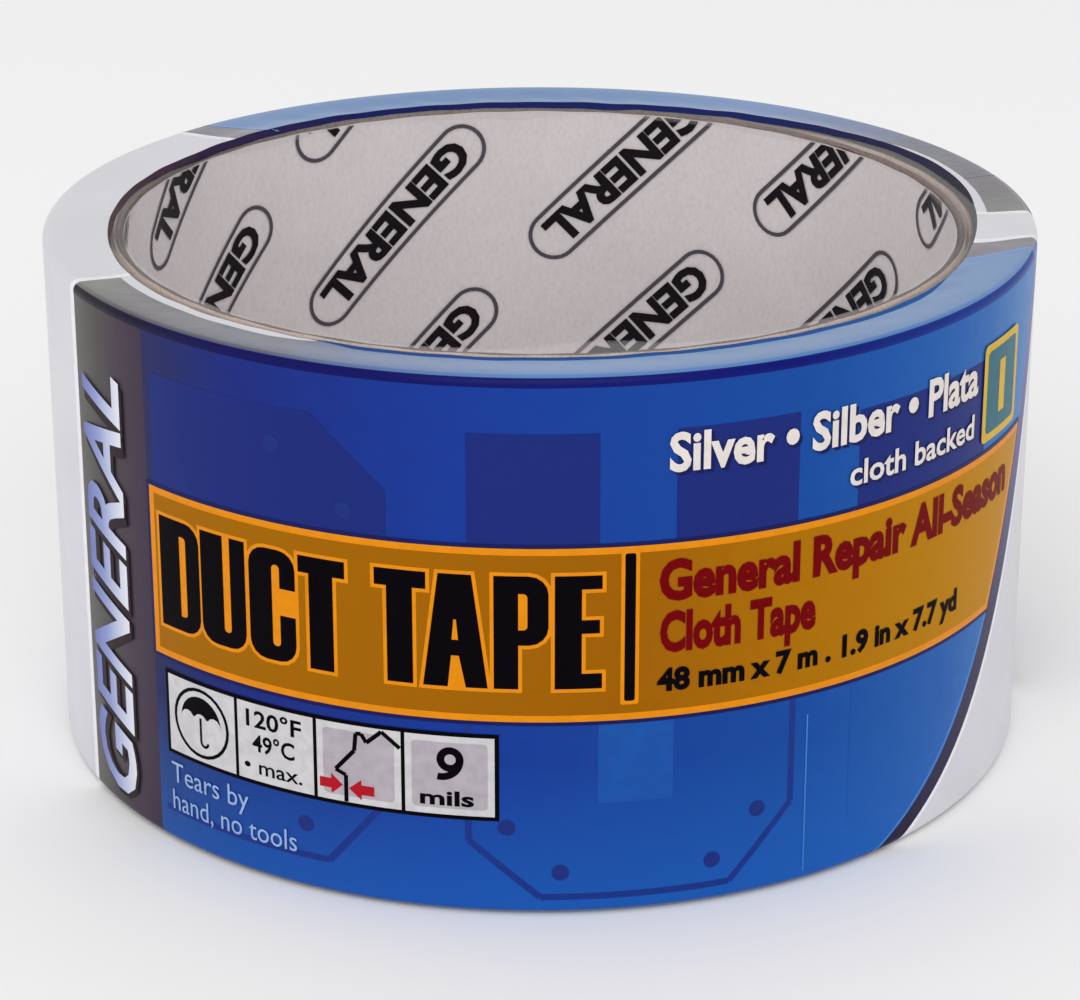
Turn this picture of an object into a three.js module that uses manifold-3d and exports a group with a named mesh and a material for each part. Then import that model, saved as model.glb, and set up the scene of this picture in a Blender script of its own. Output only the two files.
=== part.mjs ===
// Retail roll of cloth duct tape in its printed shrink sleeve. Millimetres, +Z up.
// The roll stands on one end face, and the origin is the centre of that face.

import * as THREE from 'three';
import { mergeVertices } from 'three/addons/utils/BufferGeometryUtils.js';
import Module from 'manifold-3d';

const wasm = await Module();
wasm.setup();

// Tape, as it is cut and wound: one strip of three bonded layers, in a spiral.
const TAPE_WIDTH = 48.0;
const TURN_PITCH = 0.214;
const TURN_COUNT = 26;
const ADHESIVE_THICKNESS = 0.1;
const CLOTH_THICKNESS = 0.045;
const BACKING_THICKNESS = 0.065;

// Core, a 3 inch paper tube of five plies glued round each other.
const BORE_RADIUS = 38.1;
const LINER_THICKNESS = 0.12;
const BOARD_THICKNESS = 0.38;
const FACE_THICKNESS = 0.16;
const GLUE_LINE = 0.02;

// Each ply is a slanted strip whose edges butt together along one seam.
const SEAM_GAP = 0.3;
const SEAM_SLOPE = 1.0;
const SEAM_SPACING = THREE.MathUtils.degToRad(72);
const SEAM_START = THREE.MathUtils.degToRad(-126);

// Shrink sleeve.
const FILM_THICKNESS = 0.05;
const FILM_CLEARANCE = 0.026;
const FLAP_INNER_RADIUS = 38.4;

// All round surfaces share one facet count, so that nested surfaces lie parallel.
const FACETS = 48;
const SEAM_STEPS = 12;
const BLADE_OVERSIZE = 1.0;

const END_Z = FILM_THICKNESS;
const CORE_OUTER_RADIUS = BORE_RADIUS + LINER_THICKNESS + 3 * BOARD_THICKNESS
  + FACE_THICKNESS + 4 * GLUE_LINE;
const STRIP_THICKNESS = ADHESIVE_THICKNESS + CLOTH_THICKNESS + BACKING_THICKNESS;
const TAPE_OUTER_RADIUS = CORE_OUTER_RADIUS + TURN_COUNT * TURN_PITCH + STRIP_THICKNESS;
const SLEEVE_INNER_RADIUS = TAPE_OUTER_RADIUS + FILM_CLEARANCE;
const SLEEVE_OUTER_RADIUS = SLEEVE_INNER_RADIUS + FILM_THICKNESS;

const finishes = {
  film: new THREE.MeshStandardMaterial({ color: 0x1c4aa0, roughness: 0.18, metalness: 0.0 }),
  backing: new THREE.MeshStandardMaterial({ color: 0x9b9ea3, roughness: 0.45, metalness: 0.1 }),
  cloth: new THREE.MeshStandardMaterial({ color: 0xd6d3c8, roughness: 0.9, metalness: 0.0 }),
  adhesive: new THREE.MeshStandardMaterial({ color: 0xb9b5a6, roughness: 0.6, metalness: 0.0 }),
  windings: new THREE.MeshStandardMaterial({ color: 0x8a8c90, roughness: 0.55, metalness: 0.0 }),
  board: new THREE.MeshStandardMaterial({ color: 0xa88a66, roughness: 0.95, metalness: 0.0 }),
  facePaper: new THREE.MeshStandardMaterial({ color: 0xb99a72, roughness: 0.9, metalness: 0.0 }),
  liner: new THREE.MeshStandardMaterial({ color: 0xc9c3bd, roughness: 0.85, metalness: 0.0 }),
};

// Point on a circle at a facet corner, given as a whole number of facets round from +X.
function cornerPoint(radius, corner) {
  const angle = 2 * Math.PI * corner / FACETS;
  return new THREE.Vector2(radius * Math.cos(angle), radius * Math.sin(angle));
}

function circlePoints(radius) {
  return Array.from({ length: FACETS }, (_, corner) => cornerPoint(radius, corner));
}

// Corner points of a spiral that starts on +X and grows by one pitch a turn.
function spiralPoints(startRadius, turns) {
  const points = [];
  for (let corner = 0; corner <= turns * FACETS; corner += 1) {
    points.push(cornerPoint(startRadius + TURN_PITCH * corner / FACETS, corner));
  }
  return points;
}

// A flat outline raised to the tape's width, standing on the lower film.
function raise(shape) {
  const settings = { depth: TAPE_WIDTH, steps: 1, bevelEnabled: false };
  const geometry = new THREE.ExtrudeGeometry(shape, settings);
  geometry.translate(0, 0, END_Z);
  return geometry;
}

function ringGeometry(innerRadius, outerRadius) {
  const shape = new THREE.Shape(circlePoints(outerRadius));
  shape.holes.push(new THREE.Path(circlePoints(innerRadius)));
  return raise(shape);
}

// A strip standing on edge and wound in a spiral from its inner face outwards.
function woundStrip(startRadius, thickness, turns) {
  const under = spiralPoints(startRadius, turns);
  const over = spiralPoints(startRadius + thickness, turns);
  return raise(new THREE.Shape([...over, ...under.reverse()]));
}

function toManifold(geometry) {
  const bare = geometry.clone();
  bare.deleteAttribute('normal');
  bare.deleteAttribute('uv');
  const welded = mergeVertices(bare, 1e-5);
  return new wasm.Manifold(new wasm.Mesh({
    numProp: 3,
    vertProperties: new Float32Array(welded.attributes.position.array),
    triVerts: new Uint32Array(welded.index.array),
  }));
}

function toGeometry(manifold) {
  const mesh = manifold.getMesh();
  const geometry = new THREE.BufferGeometry();
  geometry.setAttribute('position', new THREE.BufferAttribute(mesh.vertProperties, 3));
  geometry.setIndex(new THREE.BufferAttribute(mesh.triVerts, 1));
  geometry.computeVertexNormals();
  return geometry;
}

// A twisted blade that follows a slanted seam, from below the ply to above it.
function seamBlade(innerRadius, outerRadius, startAngle) {
  const middleRadius = (innerRadius + outerRadius) / 2;
  const blade = new THREE.BoxGeometry(
    outerRadius - innerRadius + 2 * BLADE_OVERSIZE,
    SEAM_GAP,
    TAPE_WIDTH + 2 * BLADE_OVERSIZE,
    1,
    1,
    SEAM_STEPS,
  );
  blade.translate(middleRadius, 0, END_Z + TAPE_WIDTH / 2);
  const position = blade.attributes.position;
  const corner = new THREE.Vector3();
  const vertical = new THREE.Vector3(0, 0, 1);
  for (let index = 0; index < position.count; index += 1) {
    corner.fromBufferAttribute(position, index);
    corner.applyAxisAngle(vertical, startAngle + SEAM_SLOPE * corner.z / middleRadius);
    position.setXYZ(index, corner.x, corner.y, corner.z);
  }
  return blade;
}

function addPiece(group, name, geometry, finish) {
  const mesh = new THREE.Mesh(geometry, finish);
  mesh.name = name;
  group.add(mesh);
}

function addPly(group, name, innerRadius, thickness, seamIndex, finish) {
  const outerRadius = innerRadius + thickness;
  const tube = toManifold(ringGeometry(innerRadius, outerRadius));
  const startAngle = SEAM_START + seamIndex * SEAM_SPACING;
  const blade = toManifold(seamBlade(innerRadius, outerRadius, startAngle));
  addPiece(group, name, toGeometry(tube.subtract(blade)), finish);
  return outerRadius + GLUE_LINE;
}

// Paper core: liner, three board plies and a smooth face ply, from the bore outwards.
function buildCore() {
  const core = new THREE.Group();
  let radius = addPly(core, 'core_liner_ply', BORE_RADIUS, LINER_THICKNESS, 0, finishes.liner);
  ['inner', 'middle', 'outer'].forEach((place, index) => {
    const name = `core_board_ply_${place}`;
    radius = addPly(core, name, radius, BOARD_THICKNESS, 2 * index + 1, finishes.board);
  });
  addPly(core, 'core_face_ply', radius, FACE_THICKNESS, 7, finishes.facePaper);
  return core;
}

// Wound tape: every turn but the last as the whole strip, then the last turn in its layers.
function buildTape() {
  const tape = new THREE.Group();
  const windings = woundStrip(CORE_OUTER_RADIUS, STRIP_THICKNESS, TURN_COUNT - 1);
  addPiece(tape, 'tape_windings', windings, finishes.windings);

  const layers = [
    ['last_turn_adhesive', ADHESIVE_THICKNESS, finishes.adhesive],
    ['last_turn_cloth', CLOTH_THICKNESS, finishes.cloth],
    ['last_turn_backing', BACKING_THICKNESS, finishes.backing],
  ];
  let radius = CORE_OUTER_RADIUS + (TURN_COUNT - 1) * TURN_PITCH;
  layers.forEach(([name, thickness, finish]) => {
    addPiece(tape, name, woundStrip(radius, thickness, 1), finish);
    radius += thickness;
  });
  return tape;
}

// Film sleeve: a thin channel section that wraps the outer face and both end faces.
function buildSleeve() {
  const height = TAPE_WIDTH + 2 * FILM_THICKNESS;
  const profile = [
    [FLAP_INNER_RADIUS, 0],
    [SLEEVE_OUTER_RADIUS, 0],
    [SLEEVE_OUTER_RADIUS, height],
    [FLAP_INNER_RADIUS, height],
    [FLAP_INNER_RADIUS, height - FILM_THICKNESS],
    [SLEEVE_INNER_RADIUS, height - FILM_THICKNESS],
    [SLEEVE_INNER_RADIUS, FILM_THICKNESS],
    [FLAP_INNER_RADIUS, FILM_THICKNESS],
    [FLAP_INNER_RADIUS, 0],
  ].map(([radius, z]) => new THREE.Vector2(radius, z));
  const geometry = new THREE.LatheGeometry(profile, FACETS);
  geometry.rotateX(Math.PI / 2);
  const sleeve = new THREE.Group();
  addPiece(sleeve, 'shrink_sleeve', geometry, finishes.film);
  return sleeve;
}

const roll = new THREE.Group();
roll.add(buildCore(), buildTape(), buildSleeve());

export default roll;
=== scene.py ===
"""Looks of a wrapped roll of cloth duct tape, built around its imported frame.

The roll stands on one end face.  The frame's axes hold throughout: +Z runs up the roll's axis and the
printed front panel faces -Y.  Objects are in metres.  Artwork is laid out flat in millimetres, as a printer
would, and is then wrapped on to the film or on to the core's liner.
"""

import logging
import math
from collections.abc import Callable, Iterable, Sequence
from dataclasses import dataclass, field
from enum import Enum

import bmesh
import bpy
from mathutils import Matrix, Vector
from mathutils.geometry import interpolate_bezier


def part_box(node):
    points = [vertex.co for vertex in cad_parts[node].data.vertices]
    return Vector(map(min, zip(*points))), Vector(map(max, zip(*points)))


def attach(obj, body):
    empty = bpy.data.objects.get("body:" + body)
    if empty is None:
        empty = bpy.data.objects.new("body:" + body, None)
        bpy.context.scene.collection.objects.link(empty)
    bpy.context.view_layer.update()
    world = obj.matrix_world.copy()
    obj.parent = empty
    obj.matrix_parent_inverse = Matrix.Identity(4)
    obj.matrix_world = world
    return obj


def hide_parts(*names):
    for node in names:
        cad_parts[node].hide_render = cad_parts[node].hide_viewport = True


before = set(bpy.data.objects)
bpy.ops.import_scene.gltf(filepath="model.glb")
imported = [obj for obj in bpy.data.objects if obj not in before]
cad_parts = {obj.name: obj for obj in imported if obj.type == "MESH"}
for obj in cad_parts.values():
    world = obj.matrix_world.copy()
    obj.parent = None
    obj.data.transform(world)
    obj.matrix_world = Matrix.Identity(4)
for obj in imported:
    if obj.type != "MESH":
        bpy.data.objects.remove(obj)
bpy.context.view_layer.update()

log = logging.getLogger("tape_roll")

MM = 0.001
BODY = "root"
SEAM_WELD = 1e-7
SHARP_ANGLE = math.radians(40)
Point = tuple[float, float]
Colour = tuple[float, float, float]


def print_colour(red: int, green: int, blue: int) -> Colour:
    """Turns a colour as seen on a screen into linear light, by the standard screen curve.

    Args:
        red: Red, 0 to 255.
        green: Green, 0 to 255.
        blue: Blue, 0 to 255.

    Returns:
        The same colour in linear light, 0 to 1.
    """
    def linear(value: int) -> float:
        """One channel in linear light."""
        share = value / 255
        return share / 12.92 if share <= 0.04045 else ((share + 0.055) / 1.055) ** 2.4
    return linear(red), linear(green), linear(blue)


def darker(colour: Colour, share: float) -> Colour:
    """A share of a colour's light."""
    return tuple(channel * share for channel in colour)


# ---------------------------------------------------------------- finishes

class Graph:
    """A node material in the making."""

    # The Mix node's sockets when it mixes colours: the share, the two colours and the result.
    MIX_INPUTS = (0, 6, 7)
    MIX_RESULT = 2

    def __init__(self, name: str) -> None:
        """Starts a material that has only its output and one principled shader.

        Args:
            name: The material's name.
        """
        self.material = bpy.data.materials.new(name)
        self.material.use_nodes = True
        self.nodes = self.material.node_tree.nodes
        self.links = self.material.node_tree.links
        self.shader = self.nodes["Principled BSDF"]

    def add(self, kind: str, **settings: object) -> bpy.types.Node:
        """Adds a node.

        Args:
            kind: The node's type, such as ShaderNodeMath.
            **settings: Properties of the node to set.

        Returns:
            The new node.
        """
        node = self.nodes.new(kind)
        for key, value in settings.items():
            setattr(node, key, value)
        return node

    def join(self, source: bpy.types.NodeSocket, target: bpy.types.NodeSocket) -> None:
        """Links one socket to another."""
        self.links.new(source, target)

    def maths(self, operation: str, first: object, second: object = 0.0) -> bpy.types.NodeSocket:
        """Works out a number from two sockets or numbers.

        Args:
            operation: A Math node's operation.
            first: The first socket or number.
            second: The second socket or number.

        Returns:
            The socket that holds the result.
        """
        node = self.add("ShaderNodeMath", operation=operation)
        for socket, value in zip(node.inputs, (first, second)):
            if isinstance(value, bpy.types.NodeSocket):
                self.join(value, socket)
            else:
                socket.default_value = value
        return node.outputs[0]

    def place(self) -> bpy.types.NodeSocket:
        """The point's place on the object, in metres."""
        return self.add("ShaderNodeTexCoord").outputs["Object"]

    def artwork(self) -> bpy.types.Node:
        """A split of the artwork's flat coordinates.

        Returns:
            The node, whose first two outputs are the decimetres along and up.
        """
        uv = self.add("ShaderNodeUVMap", uv_map=Artwork.UV_NAME)
        split = self.add("ShaderNodeSeparateXYZ")
        self.join(uv.outputs[0], split.inputs[0])
        return split

    def noise(self, scale: float, detail: float = 2.0,
              stretch: Sequence[float] = (1, 1, 1)) -> bpy.types.NodeSocket:
        """Noise that is fixed to the object.

        Args:
            scale: Features per metre.
            detail: How many finer layers it has.
            stretch: Factors on x, y and z before the noise is read.

        Returns:
            The socket with the noise's value, 0 to 1.
        """
        mapping = self.add("ShaderNodeMapping")
        mapping.inputs["Scale"].default_value = stretch
        self.join(self.place(), mapping.inputs["Vector"])
        node = self.add("ShaderNodeTexNoise")
        node.inputs["Scale"].default_value = scale
        node.inputs["Detail"].default_value = detail
        self.join(mapping.outputs[0], node.inputs["Vector"])
        return node.outputs["Fac"]

    def ramp(self, value: bpy.types.NodeSocket,
             stops: Sequence[tuple[float, Colour]]) -> bpy.types.NodeSocket:
        """Colours a value.

        Args:
            value: The socket to read.
            stops: Pairs of a value and the colour there.

        Returns:
            The colour's socket.
        """
        node = self.add("ShaderNodeValToRGB")
        elements = node.color_ramp.elements
        while len(elements) < len(stops):
            elements.new(0.5)
        for element, (position, colour) in zip(elements, stops):
            element.position = position
            element.color = (*colour, 1.0)
        self.join(value, node.inputs[0])
        return node.outputs[0]

    def blend(self, share: object, first: object, second: object,
              mode: str = "MIX") -> bpy.types.NodeSocket:
        """Mixes two colours.

        Args:
            share: How much of the second, a socket or a number.
            first: A colour or its socket.
            second: A colour or its socket.
            mode: The Mix node's blend type.

        Returns:
            The mixed colour's socket.
        """
        node = self.add("ShaderNodeMix", data_type="RGBA", blend_type=mode)
        for index, value in zip(self.MIX_INPUTS, (share, first, second)):
            socket = node.inputs[index]
            if isinstance(value, bpy.types.NodeSocket):
                self.join(value, socket)
            elif isinstance(value, tuple):
                socket.default_value = (*value, 1.0)
            else:
                socket.default_value = value
        return node.outputs[self.MIX_RESULT]

    def bump(self, height: bpy.types.NodeSocket, depth: float, strength: float = 1.0) -> None:
        """Raises the surface by a height map.

        Args:
            height: The socket that holds the height, 0 to 1.
            depth: The relief's depth in metres.
            strength: How much of it shows.
        """
        node = self.add("ShaderNodeBump")
        node.inputs["Strength"].default_value = strength
        node.inputs["Distance"].default_value = depth
        self.join(height, node.inputs["Height"])
        self.join(node.outputs[0], self.shader.inputs["Normal"])

    def dress(self, tone: bpy.types.NodeSocket) -> None:
        """Gives the shader its base colour."""
        self.join(tone, self.shader.inputs["Base Color"])

    def set(self, **values: object) -> None:
        """Sets the shader's own sockets, named with _ for a space."""
        for key, value in values.items():
            self.shader.inputs[key.replace("_", " ")].default_value = value


class Lie(Enum):
    """How the film lies: tight round the tape, or loose over an end face, where it shines more."""

    TIGHT = "tight"
    LOOSE = "loose"


@dataclass(frozen=True)
class Sheen:
    """How film catches the light, and the faint, slow waviness of its surface."""

    roughness: float
    specular: float
    coat: float
    coat_roughness: float
    wave_scale: float
    wave_stretch: Sequence[float]
    wave_depth: float
    wave_strength: float


TIGHT_SHEEN = Sheen(0.34, 0.12, 0.0, 0.03, 160.0, (1, 1, 0.5), 0.00035, 0.25)
LOOSE_SHEEN = Sheen(0.25, 0.5, 0.6, 0.16, 240.0, (1, 1, 1), 0.0005, 0.3)


def film_gloss(graph: Graph, specular: float, lie: Lie, shine: float = 1.0) -> None:
    """Gives a material the sheen of shrink film.

    Args:
        graph: The material in the making.
        specular: The shader's specular level where the film is tight.
        lie: How the film lies.
        shine: The share of the loose film's shine that it takes on.
    """
    sheen = LOOSE_SHEEN if lie is Lie.LOOSE else TIGHT_SHEEN
    level = sheen.specular * shine if lie is Lie.LOOSE else specular
    graph.set(Roughness=sheen.roughness, Specular_IOR_Level=level)
    graph.set(Coat_Weight=sheen.coat * shine, Coat_Roughness=sheen.coat_roughness)
    waves = graph.noise(sheen.wave_scale, 3.0, sheen.wave_stretch)
    graph.bump(waves, sheen.wave_depth, sheen.wave_strength)


@dataclass(frozen=True)
class PlainInk:
    """An ink of one colour, very slightly uneven as printing on film is."""

    name: str
    colour: Colour
    specular: float = TIGHT_SHEEN.specular
    uneven: float = 0.08
    grain: float = 900.0

    def build(self, lie: Lie) -> bpy.types.Material:
        """Makes the material.

        Args:
            lie: How the film lies that it is printed on.

        Returns:
            The material.
        """
        graph = Graph(f"{self.name}_{lie.value}")
        deeper = darker(self.colour, 1 - self.uneven)
        graph.dress(graph.ramp(graph.noise(self.grain), [(0.35, deeper), (0.65, self.colour)]))
        film_gloss(graph, self.specular, lie)
        return graph.material


@dataclass(frozen=True)
class ShadedInk:
    """An ink whose colour runs through a few tones along the artwork or up it.

    The loose stops are its paler tones where the film lies loose: painted light that stands for light coming
    through from behind.  The painted bounce share is how much it brightens towards the foot of the wall:
    painted light that stands for light bounced up from the floor.
    """

    name: str
    stops: tuple[tuple[float, Colour], ...]
    start: float
    end: float
    upwards: bool = False
    specular: float = TIGHT_SHEEN.specular
    loose_stops: tuple[tuple[float, Colour], ...] = ()
    shine: float = 1.0
    painted_bounce_share: float = 0.0
    painted_bounce_height: float = 14.0
    painted_bounce_tone: Colour = print_colour(26, 100, 190)
    mottle: float = 0.08
    mottle_scale: float = 700.0

    def tone(self, graph: Graph, lie: Lie = Lie.TIGHT) -> bpy.types.NodeSocket:
        """The ink's running colour, read from the artwork's coordinates.

        Args:
            graph: The material in the making.
            lie: How the film lies that it is printed on.

        Returns:
            The colour's socket.
        """
        split = graph.artwork()
        read = split.outputs[1 if self.upwards else 0]
        place = graph.maths("SUBTRACT", read, self.start / Artwork.UV_SIZE)
        share = graph.maths("DIVIDE", place, (self.end - self.start) / Artwork.UV_SIZE)
        noise = graph.maths("SUBTRACT", graph.noise(self.mottle_scale, 3.0), 0.5)
        mottle = graph.maths("MULTIPLY", noise, self.mottle)
        loose = lie is Lie.LOOSE and self.loose_stops
        tone = graph.ramp(graph.maths("ADD", share, mottle), self.loose_stops if loose else self.stops)
        # Painted light: brightens the ink towards the foot of the wall, standing for light bounced up from
        # the floor.
        if self.painted_bounce_share and not loose:
            rise = graph.maths("DIVIDE", split.outputs[1], self.painted_bounce_height / Artwork.UV_SIZE)
            painted_bounce = graph.maths("MULTIPLY", graph.maths("SUBTRACT", 1.0, rise), self.painted_bounce_share)
            painted_bounce.node.use_clamp = True
            tone = graph.blend(painted_bounce, tone, self.painted_bounce_tone)
        return tone

    def build(self, lie: Lie) -> bpy.types.Material:
        """Makes the material.

        Args:
            lie: How the film lies that it is printed on.

        Returns:
            The material.
        """
        graph = Graph(f"{self.name}_{lie.value}")
        graph.dress(self.tone(graph, lie))
        film_gloss(graph, self.specular, lie, self.shine)
        return graph.material


@dataclass(frozen=True)
class PlateInk:
    """A dark plate printed over the field, which fades into the field towards its foot."""

    name: str
    field_ink: ShadedInk
    dark: Colour
    fade_from: float
    fade_to: float
    foot_share: float = 0.97
    grain: float = 1400.0
    grain_amount: float = 0.25
    grain_share: float = 0.6

    def build(self, lie: Lie) -> bpy.types.Material:
        """Makes the material.

        Args:
            lie: How the film lies that it is printed on.

        Returns:
            The material.
        """
        graph = Graph(f"{self.name}_{lie.value}")
        place = graph.maths("SUBTRACT", graph.artwork().outputs[1], self.fade_from / Artwork.UV_SIZE)
        share = graph.maths("DIVIDE", place, (self.fade_to - self.fade_from) / Artwork.UV_SIZE)
        share.node.use_clamp = True
        under = graph.blend(1.0, self.field_ink.tone(graph), (self.foot_share,) * 3, "MULTIPLY")
        grain = graph.maths("MULTIPLY", graph.noise(self.grain), self.grain_amount)
        dark = graph.blend(grain, self.dark, darker(self.dark, self.grain_share))
        graph.dress(graph.blend(share, under, dark))
        film_gloss(graph, self.field_ink.specular, lie)
        return graph.material


@dataclass(frozen=True)
class WhiteFilm:
    """Unprinted shrink film, silver-white, over the tape."""

    name: str = "silver_white_film"
    colour: Colour = print_colour(216, 214, 221)
    specular: float = 0.35
    cloud_scale: float = 120.0
    cloud_share: float = 0.93

    def build(self, lie: Lie) -> bpy.types.Material:
        """Makes the material.

        Args:
            lie: How the film lies.

        Returns:
            The material.
        """
        graph = Graph(f"{self.name}_{lie.value}")
        dull = darker(self.colour, self.cloud_share)
        graph.dress(graph.ramp(graph.noise(self.cloud_scale, 4.0), [(0.3, dull), (0.7, self.colour)]))
        film_gloss(graph, self.specular, lie)
        return graph.material


@dataclass(frozen=True)
class ClearFilm:
    """The film's clear margin, nearly invisible but for its gloss."""

    name: str = "clear_film"
    colour: Colour = (0.8, 0.78, 0.77)
    haze: float = 0.1
    roughness: float = 0.16
    specular: float = 0.6
    wave_scale: float = 350.0
    wave_depth: float = 0.0004

    def build(self) -> bpy.types.Material:
        """Makes the material."""
        graph = Graph(self.name)
        graph.set(Base_Color=(*self.colour, 1.0), Alpha=self.haze)
        graph.set(Roughness=self.roughness, Specular_IOR_Level=self.specular)
        graph.bump(graph.noise(self.wave_scale), self.wave_depth, 0.4)
        return graph.material


@dataclass(frozen=True)
class Paper:
    """Smooth paper with short fibres in it, and faint broad clouds."""

    name: str
    colour: Colour
    fibre: Colour
    roughness: float = 0.75
    fibre_scale: float = 2600.0
    fibre_relief: float = 0.00004
    cloud_scale: float = 90.0
    cloud_share: float = 0.93

    def build(self) -> bpy.types.Material:
        """Makes the material."""
        graph = Graph(self.name)
        fibres = graph.noise(self.fibre_scale, 4.0, (1, 1, 0.6))
        tone = graph.ramp(fibres, [(0.3, self.fibre), (0.6, self.colour)])
        clouds = [(0.3, (self.cloud_share,) * 3), (0.7, (1.0,) * 3)]
        cloud = graph.ramp(graph.noise(self.cloud_scale, 3.0), clouds)
        graph.dress(graph.blend(1.0, tone, cloud, "MULTIPLY"))
        graph.set(Roughness=self.roughness, Specular_IOR_Level=0.3)
        graph.bump(fibres, self.fibre_relief, 0.4)
        return graph.material


@dataclass(frozen=True)
class Chipboard:
    """Raw chipboard, with flecks of other pulp pressed into it."""

    name: str
    colour: Colour
    fleck: Colour
    fleck_scale: float = 3200.0
    fleck_relief: float = 0.00012

    def build(self) -> bpy.types.Material:
        """Makes the material."""
        graph = Graph(self.name)
        flecks = graph.noise(self.fleck_scale, 5.0)
        graph.dress(graph.ramp(flecks, [(0.36, self.fleck), (0.5, self.colour), (0.75, self.colour)]))
        graph.set(Roughness=0.95, Specular_IOR_Level=0.15)
        graph.bump(flecks, self.fleck_relief, 0.7)
        return graph.material


@dataclass(frozen=True)
class Weave:
    """Threads at right angles, read from the strip's own flat coordinates."""

    name: str
    thread: Colour
    gap: Colour
    pitch: float
    roughness: float
    relief: float
    metallic: float = 0.0

    def build(self) -> bpy.types.Material:
        """Makes the material."""
        graph = Graph(self.name)
        split = graph.artwork()
        waves = []
        for output in split.outputs[:2]:
            turns = graph.maths("MULTIPLY", output, 2 * math.pi * Artwork.UV_SIZE / self.pitch)
            waves.append(graph.maths("ABSOLUTE", graph.maths("SINE", turns)))
        cloth = graph.maths("MAXIMUM", *waves)
        graph.dress(graph.ramp(cloth, [(0.45, self.gap), (0.9, self.thread)]))
        graph.set(Roughness=self.roughness, Metallic=self.metallic)
        graph.bump(cloth, self.relief, 0.6)
        return graph.material


@dataclass(frozen=True)
class SlitEdge:
    """The grey stack of tape that shows where the roll was slit, sticky and slightly uneven."""

    name: str
    backing: Colour
    adhesive: Colour
    rings_per_metre: float = 4600.0
    drag_scale: float = 2600.0
    drag_relief: float = 0.00006

    def build(self) -> bpy.types.Material:
        """Makes the material."""
        graph = Graph(self.name)
        split = graph.add("ShaderNodeSeparateXYZ")
        graph.join(graph.place(), split.inputs[0])
        square = [graph.maths("MULTIPLY", output, output) for output in split.outputs[:2]]
        radius = graph.maths("SQRT", graph.maths("ADD", *square))
        ring = graph.maths("FRACT", graph.maths("MULTIPLY", radius, self.rings_per_metre))
        graph.dress(graph.ramp(ring, [(0.35, self.adhesive), (0.6, self.backing)]))
        graph.set(Roughness=0.5)
        graph.bump(graph.noise(self.drag_scale, 3.0), self.drag_relief, 0.6)
        return graph.material


@dataclass(frozen=True)
class FloorPaint:
    """The plain pale ground that the roll stands on."""

    name: str = "pale_floor"
    colour: Colour = (0.985, 0.985, 0.985)
    cloud_scale: float = 3.0
    cloud_share: float = 0.995

    def build(self) -> bpy.types.Material:
        """Makes the material."""
        graph = Graph(self.name)
        stops = [(0.0, darker(self.colour, self.cloud_share)), (1.0, self.colour)]
        graph.dress(graph.ramp(graph.noise(self.cloud_scale), stops))
        graph.set(Roughness=0.9, Specular_IOR_Level=0.0)
        return graph.material


FIELD_INK = ShadedInk(
    "blue_field_ink",
    (
        (0.0, print_colour(32, 36, 82)),
        (0.13, print_colour(19, 38, 122)),
        (0.34, print_colour(13, 52, 145)),
        (0.66, print_colour(11, 71, 154)),
        (0.86, print_colour(22, 92, 172)),
        (1.0, print_colour(48, 116, 184)),
    ),
    start=-38.0,
    end=54.0,
    # Paler tones for loose film on the end faces: painted light coming through from behind.
    loose_stops=(
        (0.0, print_colour(66, 64, 76)),
        (0.15, print_colour(62, 68, 96)),
        (0.24, print_colour(56, 92, 148)),
        (0.4, print_colour(58, 116, 182)),
        (0.66, print_colour(46, 112, 174)),
        (1.0, print_colour(44, 114, 180)),
    ),
    # Painted bounce light from the floor, brighter towards the foot of the wall.
    painted_bounce_share=0.6,
)


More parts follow.
